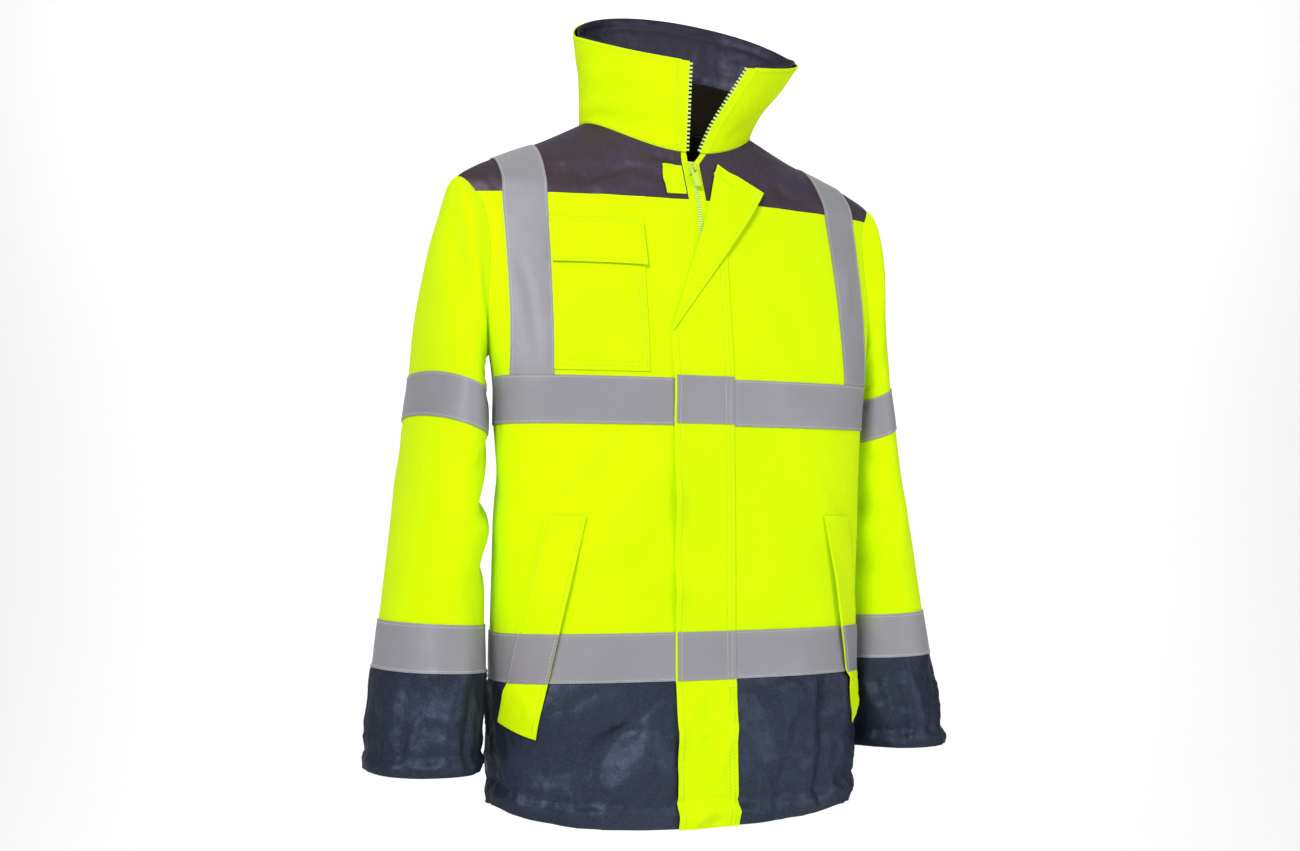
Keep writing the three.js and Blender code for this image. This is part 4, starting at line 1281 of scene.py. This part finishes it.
def spaced(line, pitch, offsets):
    """Points, normals, tangents and sides at even steps along a line, at offsets from each step."""
    points, normals = line
    along = np.concatenate([[0], np.cumsum(np.linalg.norm(np.diff(points, axis=0), axis=1))])
    count = max(1, int(along[-1] // pitch))
    steps = (np.arange(count) + 0.5) * along[-1] / count
    stations = steps[:, None] + np.asarray(offsets)
    place = np.stack([np.interp(stations, along, points[:, k]) for k in range(3)], -1)
    normal = np.stack([np.interp(steps, along, normals[:, k]) for k in range(3)], -1)
    tangent = place[:, -1] - place[:, 0]
    tangent /= np.maximum(np.linalg.norm(tangent, axis=1, keepdims=True), 1e-9)
    normal /= np.maximum(np.linalg.norm(normal, axis=1, keepdims=True), 1e-9)
    return place, normal, tangent, np.cross(tangent, normal)


STITCH_POINTS = 10
TOOTH_POINTS = 8


def stitches(name, lines, material, pitch=3.6, length=2.7, radius=0.32):
    """Threads that dip into the cloth at both ends of every stitch."""
    shape = ((0, 1, 2), (0, 2, 3), (0, 3, 4), (0, 4, 1))
    tail = tuple((9, b + 4, a + 4) for _, a, b in shape)
    tube = tuple((a, a + 4, b + 4, b) for _, a, b in shape)
    vertices, faces, base = [], [], 0
    for line in lines:
        place, normal, _, side = spaced(line, pitch, np.array([-0.5, -0.3, 0.3, 0.5]) * length)
        around = [side, normal, -side, -normal]
        rings = [place[:, k] + radius * way for k in (1, 2) for way in around]
        parts = [place[:, 0] - radius * normal, *rings, place[:, 3] - radius * normal]
        vertices.append(np.stack(parts, 1).reshape(-1, 3))
        for i in range(len(place)):
            faces += [[base + i * STITCH_POINTS + k for k in face] for face in (*shape, *tail, *tube)]
        base += len(place) * STITCH_POINTS
    thing = make_object(name, np.concatenate(vertices), faces, [material])
    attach(thing, "jacket")
    return thing


def teeth(name, lines, size, pitch, shift=0.0):
    """Moulded zip teeth, small blocks in a row."""
    box = ((0, 1, 3, 2), (4, 6, 7, 5), (0, 4, 5, 1), (2, 3, 7, 6), (0, 2, 6, 4), (1, 5, 7, 3))
    vertices, faces, base = [], [], 0
    for line in lines:
        place, normal, tangent, side = spaced(line, pitch, (-0.5, 0.5))
        middle = place.mean(1) + side * shift
        corners = [middle + tangent * size[0] * a + side * size[1] * b + normal * size[2] * c
                   for a in (-0.5, 0.5) for b in (-0.5, 0.5) for c in (-0.5, 0.5)]
        vertices.append(np.stack(corners, 1).reshape(-1, 3))
        for i in range(len(place)):
            faces += [[base + i * TOOTH_POINTS + k for k in face] for face in box]
        base += len(place) * TOOTH_POINTS
    thing = make_object(name, np.concatenate(vertices), faces, [teeth_material])
    thing.data.polygons.foreach_set("use_smooth", [False] * len(faces))
    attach(thing, "jacket")
    return thing


def front_place(x, z):
    """Place on the torso's front at a distance across and a height."""
    x, z = np.broadcast_arrays(np.asarray(x, float), np.asarray(z, float))
    u = np.full(len(x), 0.75)
    for _ in range(5):
        v = place_at_height(u, z)
        rows = rows_at(TORSO, v)
        share = np.clip((x - rows[:, 9]) / rows[:, 3], -1, 1)
        u = 1 - np.arccos(np.sign(share) * np.abs(share) ** (rows[:, 7] / 2)) / (2 * math.pi)
    return u, place_at_height(u, z)


# Height of a stitch line above the cloth it holds
TOP = 0.12
TURNS = np.linspace(0, 1, 900)


def torso_ring(z, lift, gap_right, gap_left, clear_of_sleeves=True):
    """Line round the torso at one height, open across the front between two distances."""
    v = place_at_height(TURNS, z)
    x, y, _ = torso_base(TURNS, v).T
    keep = (y > 0) | (x < gap_right) | (x > gap_left)
    if clear_of_sleeves:
        keep &= outside_sleeves(lift)(TURNS, v) > 1.0
    return line_on(torso, TURNS, v, lift, keep)


def front_line(corners, lift, surface_lift=None):
    """Stitch line on the front through corners given across and up."""
    corners = np.array(corners, float)
    gaps = np.concatenate([[0], np.cumsum(np.linalg.norm(np.diff(corners, axis=0), axis=1))])
    along = np.linspace(0, gaps[-1], max(12, int(gaps[-1] / 2.5)))
    u, v = front_place(np.interp(along, gaps, corners[:, 0]), np.interp(along, gaps, corners[:, 1]))
    extra = 0.0 if surface_lift is None else surface_lift(u, v)
    return line_on(torso, u, v, lift + TOP + extra)


grey_lines, navy_lines, yellow_lines = [], [], []
for band in (CHEST_BAND, LOWER_BAND):
    for z in (band[0] + 2, band[1] - 2):
        grey_lines += torso_ring(z, TAPE[1] + TOP, FLAP_FREE_X - 2, FLAP_SEWN_X + 2, band is CHEST_BAND)
navy_lines += torso_ring(hem_height(TURNS) + HEM_LINE_RISE, TOP, FLAP_FREE_X, FLAP_SEWN_X, False)
navy_lines += torso_ring(np.full(len(TURNS), YOKE_EDGE + 2.5), TOP, FLAP_FREE_X, 64)

for sleeve in sleeves.values():
    for place in (6.04, 6.96, 10.05, 10.95):
        grey_lines += line_on(sleeve, TURNS, np.full(len(TURNS), place), TAPE[1] + TOP)
    navy_lines += line_on(sleeve, TURNS, np.full(len(TURNS), 13 - CUFF_LINE_RISE / CUFF_STEP), TOP)

for mirror in (False, True):
    for edge_x, inset in ((brace_inner, 2.2), (brace_outer, -2.2)):
        for at_back in (False, True):
            v = np.linspace(6.05, 15, 420)
            z = torso_base(np.full(len(v), 0.05), v)[:, 2]
            for _ in range(5):
                rows = rows_at(TORSO, v)
                share = (edge_x(z) + inset) / rows[:, 3]
                power = rows[:, 8] if at_back else rows[:, 7]
                turn = np.arccos(np.clip(share, -1, 1) ** (power / 2)) / (2 * math.pi)
                u = turn if at_back else -turn
                z = torso_base(u, v)[:, 2]
            if mirror:
                u = 0.5 - u
            keep = (share < 1) & (z > foot + 1) & (outside_sleeves(TAPE[1])(u, v) > 1.0)
            grey_lines += line_on(torso, u, v, TAPE[1] + TOP, keep)



def fold_z(x):
    """Height of the flap's fold line at a distance across."""
    return FOLD_LOW[1] + (FOLD_TOP[1] - FOLD_LOW[1]) * (x - FOLD_LOW[0]) / (FOLD_TOP[0] - FOLD_LOW[0])


ZIP_FOOT = -744
for x in (FLAP_FREE_X + 5.5, FLAP_SEWN_X - 10.0, FLAP_SEWN_X - 4.5):
    above_chest = (fold_z(x) - 3, CHEST_BAND[1] + 3)
    for high, low in (above_chest, (CHEST_BAND[0] + 2, LOWER_BAND[1]), (LOWER_BAND[0], ZIP_FOOT)):
        yellow_lines += front_line([(x, high), (x, low)], FLAP[1], flap_lift)
    for band in (CHEST_BAND, LOWER_BAND):
        grey_lines += front_line([(x, band[1]), (x, band[0] + 1)], UPPER_TAPE[1], flap_lift)
corner_path = [
    (FOLD_LOW[0] + 8, FOLD_LOW[1] + 16),
    (FOLD_TIP[0] - 5, FOLD_TIP[1] + 1),
    (FOLD_TOP[0] + 2, FOLD_TOP[1] - 6),
]
yellow_lines += front_line(corner_path, UPPER[1], corner_lift)
yellow_lines += front_line([(-75, -170), (-75, -271), (-168, -271)], FLAP[1], pocket_lift)
yellow_lines += front_line([(-80, -170), (-80, -266), (-168, -266)], FLAP[1], pocket_lift)
yellow_lines += front_line([(-73, -119), (-73, -161), (-168, -161)], UPPER[1], pocket_flap_lift)
yellow_lines += front_line([(-168, -120), (-73, -120)], UPPER[1], pocket_flap_lift)
yellow_lines += front_line([(-36, -54), (-36, -81), (-19, -81), (-19, -54), (-36, -54)], FLAP[1])

for strip in WELTS:
    for share in (0.08, 0.92):
        u, v = np.full(300, share), np.linspace(0.02, 0.98, 300)
        z = strip.height(u, v)
        on_tape = (z > LOWER_BAND[0]) & (z < LOWER_BAND[1])
        yellow_lines += line_on(strip, u, v, WELT[1] + TOP + welt_lift(u, v), ~on_tape)
        u = np.full(300, 0.045 if share < 0.5 else 0.955)
        grey_lines += line_on(strip, u, v, WELT_TAPE[1] + TOP + welt_lift(u, v), on_tape)

AROUND = np.linspace(COLLAR_ZIP_SHARE + 0.01, 1 - COLLAR_ZIP_SHARE - 0.01, 500)
UP = np.linspace(0.03, 2.97, 120)
for row in (2.84, 0.09):
    yellow_lines += line_on(collar, AROUND, np.full(len(AROUND), row), TOP)
for share in (COLLAR_ZIP_SHARE + 0.005, 1 - COLLAR_ZIP_SHARE - 0.005):
    yellow_lines += line_on(collar, np.full(len(UP), share), UP, TOP)
quilt_v = np.full(len(AROUND), QUILT_ROW)
quilt_lift = COLLAR_INNER[0] + 0.9 * padding_lift(AROUND, quilt_v) - TOP
quilting = line_on(collar, AROUND, quilt_v, quilt_lift, inward=True)

stitches("stitches_tape", grey_lines, thread_grey, pitch=3.4, length=2.8, radius=0.24)
stitches("stitches_navy", navy_lines, thread_navy)
stitches("stitches_yellow", yellow_lines, thread_yellow)
stitches("stitches_padding", quilting, thread_navy)

TOOTH_PITCH = 4.2
EDGE_TOOTH = (2.2, 3.6, 2.4)
for side, share, outwards in (("left", 0.0, -1.5), ("right", 1.0, 1.5)):
    edge_line = line_on(collar, np.full(len(UP), share), UP, -1.0)
    teeth(f"teeth_collar_{side}", edge_line, EDGE_TOOTH, TOOTH_PITCH, outwards)
chain_z = np.linspace(ZIP_FOOT, ZIP_OPEN_Z - 12, 500)
chain_u, chain_v = front_place(np.full(len(chain_z), ZIP_X), chain_z)
teeth("teeth_chain", line_on(torso, chain_u, chain_v, ZIP[1] + 0.5), (1.5, 4.6, 1.2), 2.6)

# The rounded bend that joins the flap to its folded corner
bend_x = np.linspace(FOLD_LOW[0], FLAP_SEWN_X, 90)
bend_u, bend_v = front_place(bend_x, fold_z(bend_x))
bottom = torso.at(bend_u, bend_v, FLAP[0] + flap_lift(bend_u, bend_v))
top = torso.at(bend_u, bend_v, UPPER[1] + corner_lift(bend_u, bend_v))
along = np.gradient(bottom, axis=0)
along /= np.linalg.norm(along, axis=1, keepdims=True)
outwards = np.cross(torso.normal(bend_u, bend_v), along)
half = np.linalg.norm(top - bottom, axis=1, keepdims=True) / 2
arc = np.linspace(-math.pi / 2, math.pi / 2, 9)
middle, way = (top + bottom) / 2, (top - bottom) / 2
rings = [middle + way * math.sin(turn) + outwards * half * math.cos(turn) for turn in arc]
rings += [middle + way * share - outwards * 0.8 for share in (0.6, -0.6)]
sides = len(rings)
last_ring = (len(bend_x) - 1) * sides
bend_faces = []
for base in range(0, last_ring, sides):
    for k in range(sides):
        after = (k + 1) % sides
        bend_faces.append([base + k, base + after, base + sides + after, base + sides + k])
bend_faces += [list(range(sides))[::-1], [last_ring + k for k in range(sides)]]
bend = make_object("cloth_storm_flap_bend", np.stack(rings, 1).reshape(-1, 3), bend_faces, [yellow])
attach(bend, "jacket")

# The cut of every piece of cloth that shows: width, length, flat area where it isn't a rectangle (else 0),
# how it is held, and what it lies on or hangs from. On a tube it is the cut all round. A row with {side}
# holds for the left piece and for the right one.
SHEETS = {
    "panel_front_right": (0.29, 0.50, 0.120, "hung", "yoke_front_right"),
    "panel_front_left": (0.29, 0.50, 0.124, "hung", "yoke_front_left"),
    "panel_back": (0.61, 0.50, 0.245, "hung", "yoke_back"),
    "yoke_front_right": (0.24, 0.13, 0.0185, "hung", "yoke_back"),
    "yoke_front_left": (0.24, 0.13, 0.0190, "hung", "yoke_back"),
    "yoke_back": (0.52, 0.15, 0.051, "hung", "neck_lining"),
    "hem_front_right": (0.28, 0.16, 0.040, "hung", "panel_front_right"),
    "hem_front_left": (0.28, 0.16, 0.041, "hung", "panel_front_left"),
    "hem_back": (0.56, 0.155, 0.080, "hung", "panel_back"),
    "sleeve_{side}": (0.46, 0.53, 0.166, "hung", "panel_back"),
    "cuff_{side}": (0.42, 0.112, 0, "hung", "sleeve_{side}"),
    "collar_outer": (0.52, 0.13, 0.058, "hung", "yoke_back"),
    "collar_inner": (0.50, 0.08, 0.034, "hung", "collar_outer"),
    "collar_facing": (0.46, 0.065, 0.027, "hung", "collar_outer"),
    "neck_lining": (0.25, 0.15, 0.031, "hung", "yoke_back"),
    "storm_flap": (0.069, 0.70, 0.044, "hung", "panel_front_left"),
    "storm_flap_corner": (0.095, 0.20, 0.0064, "folded", "storm_flap"),
    "chest_pocket": (0.104, 0.155, 0, "laid", "panel_front_right"),
    "chest_pocket_flap": (0.104, 0.050, 0, "laid", "chest_pocket"),
    "hook_tab": (0.022, 0.035, 0, "laid", "yoke_front_right"),
    "welt_{side}": (0.046, 0.226, 0, "laid", "panel_front_{side}"),
    "welt_tape_{side}": (0.046, 0.051, 0, "laid", "welt_{side}"),
    "brace_{side}": (0.050, 0.53, 0, "laid", "panel_front_{side}"),
    "chest_band_left": (0.050, 0.23, 0, "laid", "panel_front_left"),
    "chest_band_right": (0.050, 0.21, 0, "laid", "panel_front_right"),
    "chest_band_back": (0.050, 0.49, 0, "laid", "panel_back"),
    "lower_band_left": (0.050, 0.24, 0, "laid", "panel_front_left"),
    "lower_band_right": (0.050, 0.22, 0, "laid", "panel_front_right"),
    "lower_band_back": (0.050, 0.53, 0, "laid", "panel_back"),
    "flap_tape_chest": (0.068, 0.050, 0, "laid", "storm_flap"),
    "flap_tape_lower": (0.068, 0.050, 0, "laid", "storm_flap"),
    "sleeve_band_upper_{side}": (0.050, 0.39, 0, "laid", "sleeve_{side}"),
    "sleeve_band_lower_{side}": (0.050, 0.40, 0, "laid", "sleeve_{side}"),
    "zip_tape_{side}": (0.010, 0.71, 0.0060, "hung", "panel_front_{side}"),
    "zip_chain": (0.010, 0.70, 0.0050, "hung", "panel_front_left"),
    "collar_zip_left": (0.010, 0.11, 0.0010, "hung", "collar_outer"),
    "collar_zip_right": (0.010, 0.10, 0.0010, "hung", "collar_outer"),
}
for pattern, (width, length, area, held, under) in SHEETS.items():
    for side in ("left", "right") if "{side}" in pattern else ("",):
        name = pattern.format(side=side)

# Floor, light and camera

# The camera looks at the jacket's right front, turned by this angle as fitted to the photo
VIEW_TURN = math.radians(25.7)
forward = np.array([math.sin(VIEW_TURN), math.cos(VIEW_TURN), 0])
sideways = np.array([math.cos(VIEW_TURN), -math.sin(VIEW_TURN), 0])
upwards = np.array([0, 0, 1.0])

# One pale sheet that runs from the floor up behind, with a round bend between
FLOOR_Z = -1.35
BEND_START = 3.0
BEND_RADIUS = 1.6
SIDE_REACH = 9.0
sweep = [(-SIDE_REACH, FLOOR_Z), (-2.0, FLOOR_Z)]
for step in range(17):
    turn = math.pi / 2 * step / 16
    sweep.append((BEND_START + BEND_RADIUS * math.sin(turn), FLOOR_Z + BEND_RADIUS * (1 - math.cos(turn))))
sweep.append((BEND_START + BEND_RADIUS, 6.0))
corners = [
    away * forward + side * sideways + height * upwards
    for side in (-SIDE_REACH, SIDE_REACH) for away, height in sweep
]
count = len(sweep)
quads = [[i, i + count, i + count + 1, i + 1] for i in range(count - 1)]
floor_material = new_material("floor", (0.93, 0.93, 0.93), 0.9, Specular_IOR_Level=0.1)[0]
floor = make_object("floor", np.array(corners) / MM, quads, [floor_material])

world = bpy.data.worlds.new("studio")
world.use_nodes = True
background = world.node_tree.nodes["Background"]
background.inputs["Color"].default_value = (1, 1, 1, 1)
background.inputs["Strength"].default_value = 0.36
bpy.context.scene.world = world
bpy.context.scene.view_settings.view_transform = "Standard"


def area_light(name, place, target, size, power):
    data = bpy.data.lights.new(name, "AREA")
    data.shape = "DISK"
    data.size = size
    data.energy = power
    light = bpy.data.objects.new(name, data)
    light.location = place
    light.rotation_euler = (Vector(target) - Vector(place)).to_track_quat("-Z", "Y").to_euler()
    bpy.context.scene.collection.objects.link(light)


CHEST = (0, 0, -0.35)
area_light("key", (-2.0, -2.0, 1.2), CHEST, 1.2, 76)
area_light("fill", (1.9, -2.2, 0.2), CHEST, 1.6, 25)
area_light("backdrop", 1.6 * forward + 2.6 * upwards, 4.6 * forward + 0.3 * upwards, 3.0, 115)

# Place, aim and lens of the camera, fitted to points of the photo; lens and shift in its pixels
eye = (-2006.27 * forward - 20.45 * sideways - 421.88 * upwards) * MM
yaw, pitch, roll = -0.0014, 0.0349, 0.0009
look = (forward * math.cos(yaw) + sideways * math.sin(yaw)) * math.cos(pitch) + upwards * math.sin(pitch)
across = np.cross(look, upwards)
across /= np.linalg.norm(across)
up = np.cross(across, look)
right = across * math.cos(roll) + up * math.sin(roll)
PHOTO_WIDTH = 1300
FOCAL = 1836.8
SHIFT = 24
camera_data = bpy.data.cameras.new("camera")
camera_data.sensor_width = 36
camera_data.lens = 36 * FOCAL / PHOTO_WIDTH
camera_data.shift_y = SHIFT / PHOTO_WIDTH
camera = bpy.data.objects.new("camera", camera_data)
turned = Matrix([right, np.cross(right, look), -look]).transposed()
camera.matrix_world = Matrix.Translation(eye) @ turned.to_4x4()
bpy.context.scene.collection.objects.link(camera)
bpy.context.scene.camera = camera
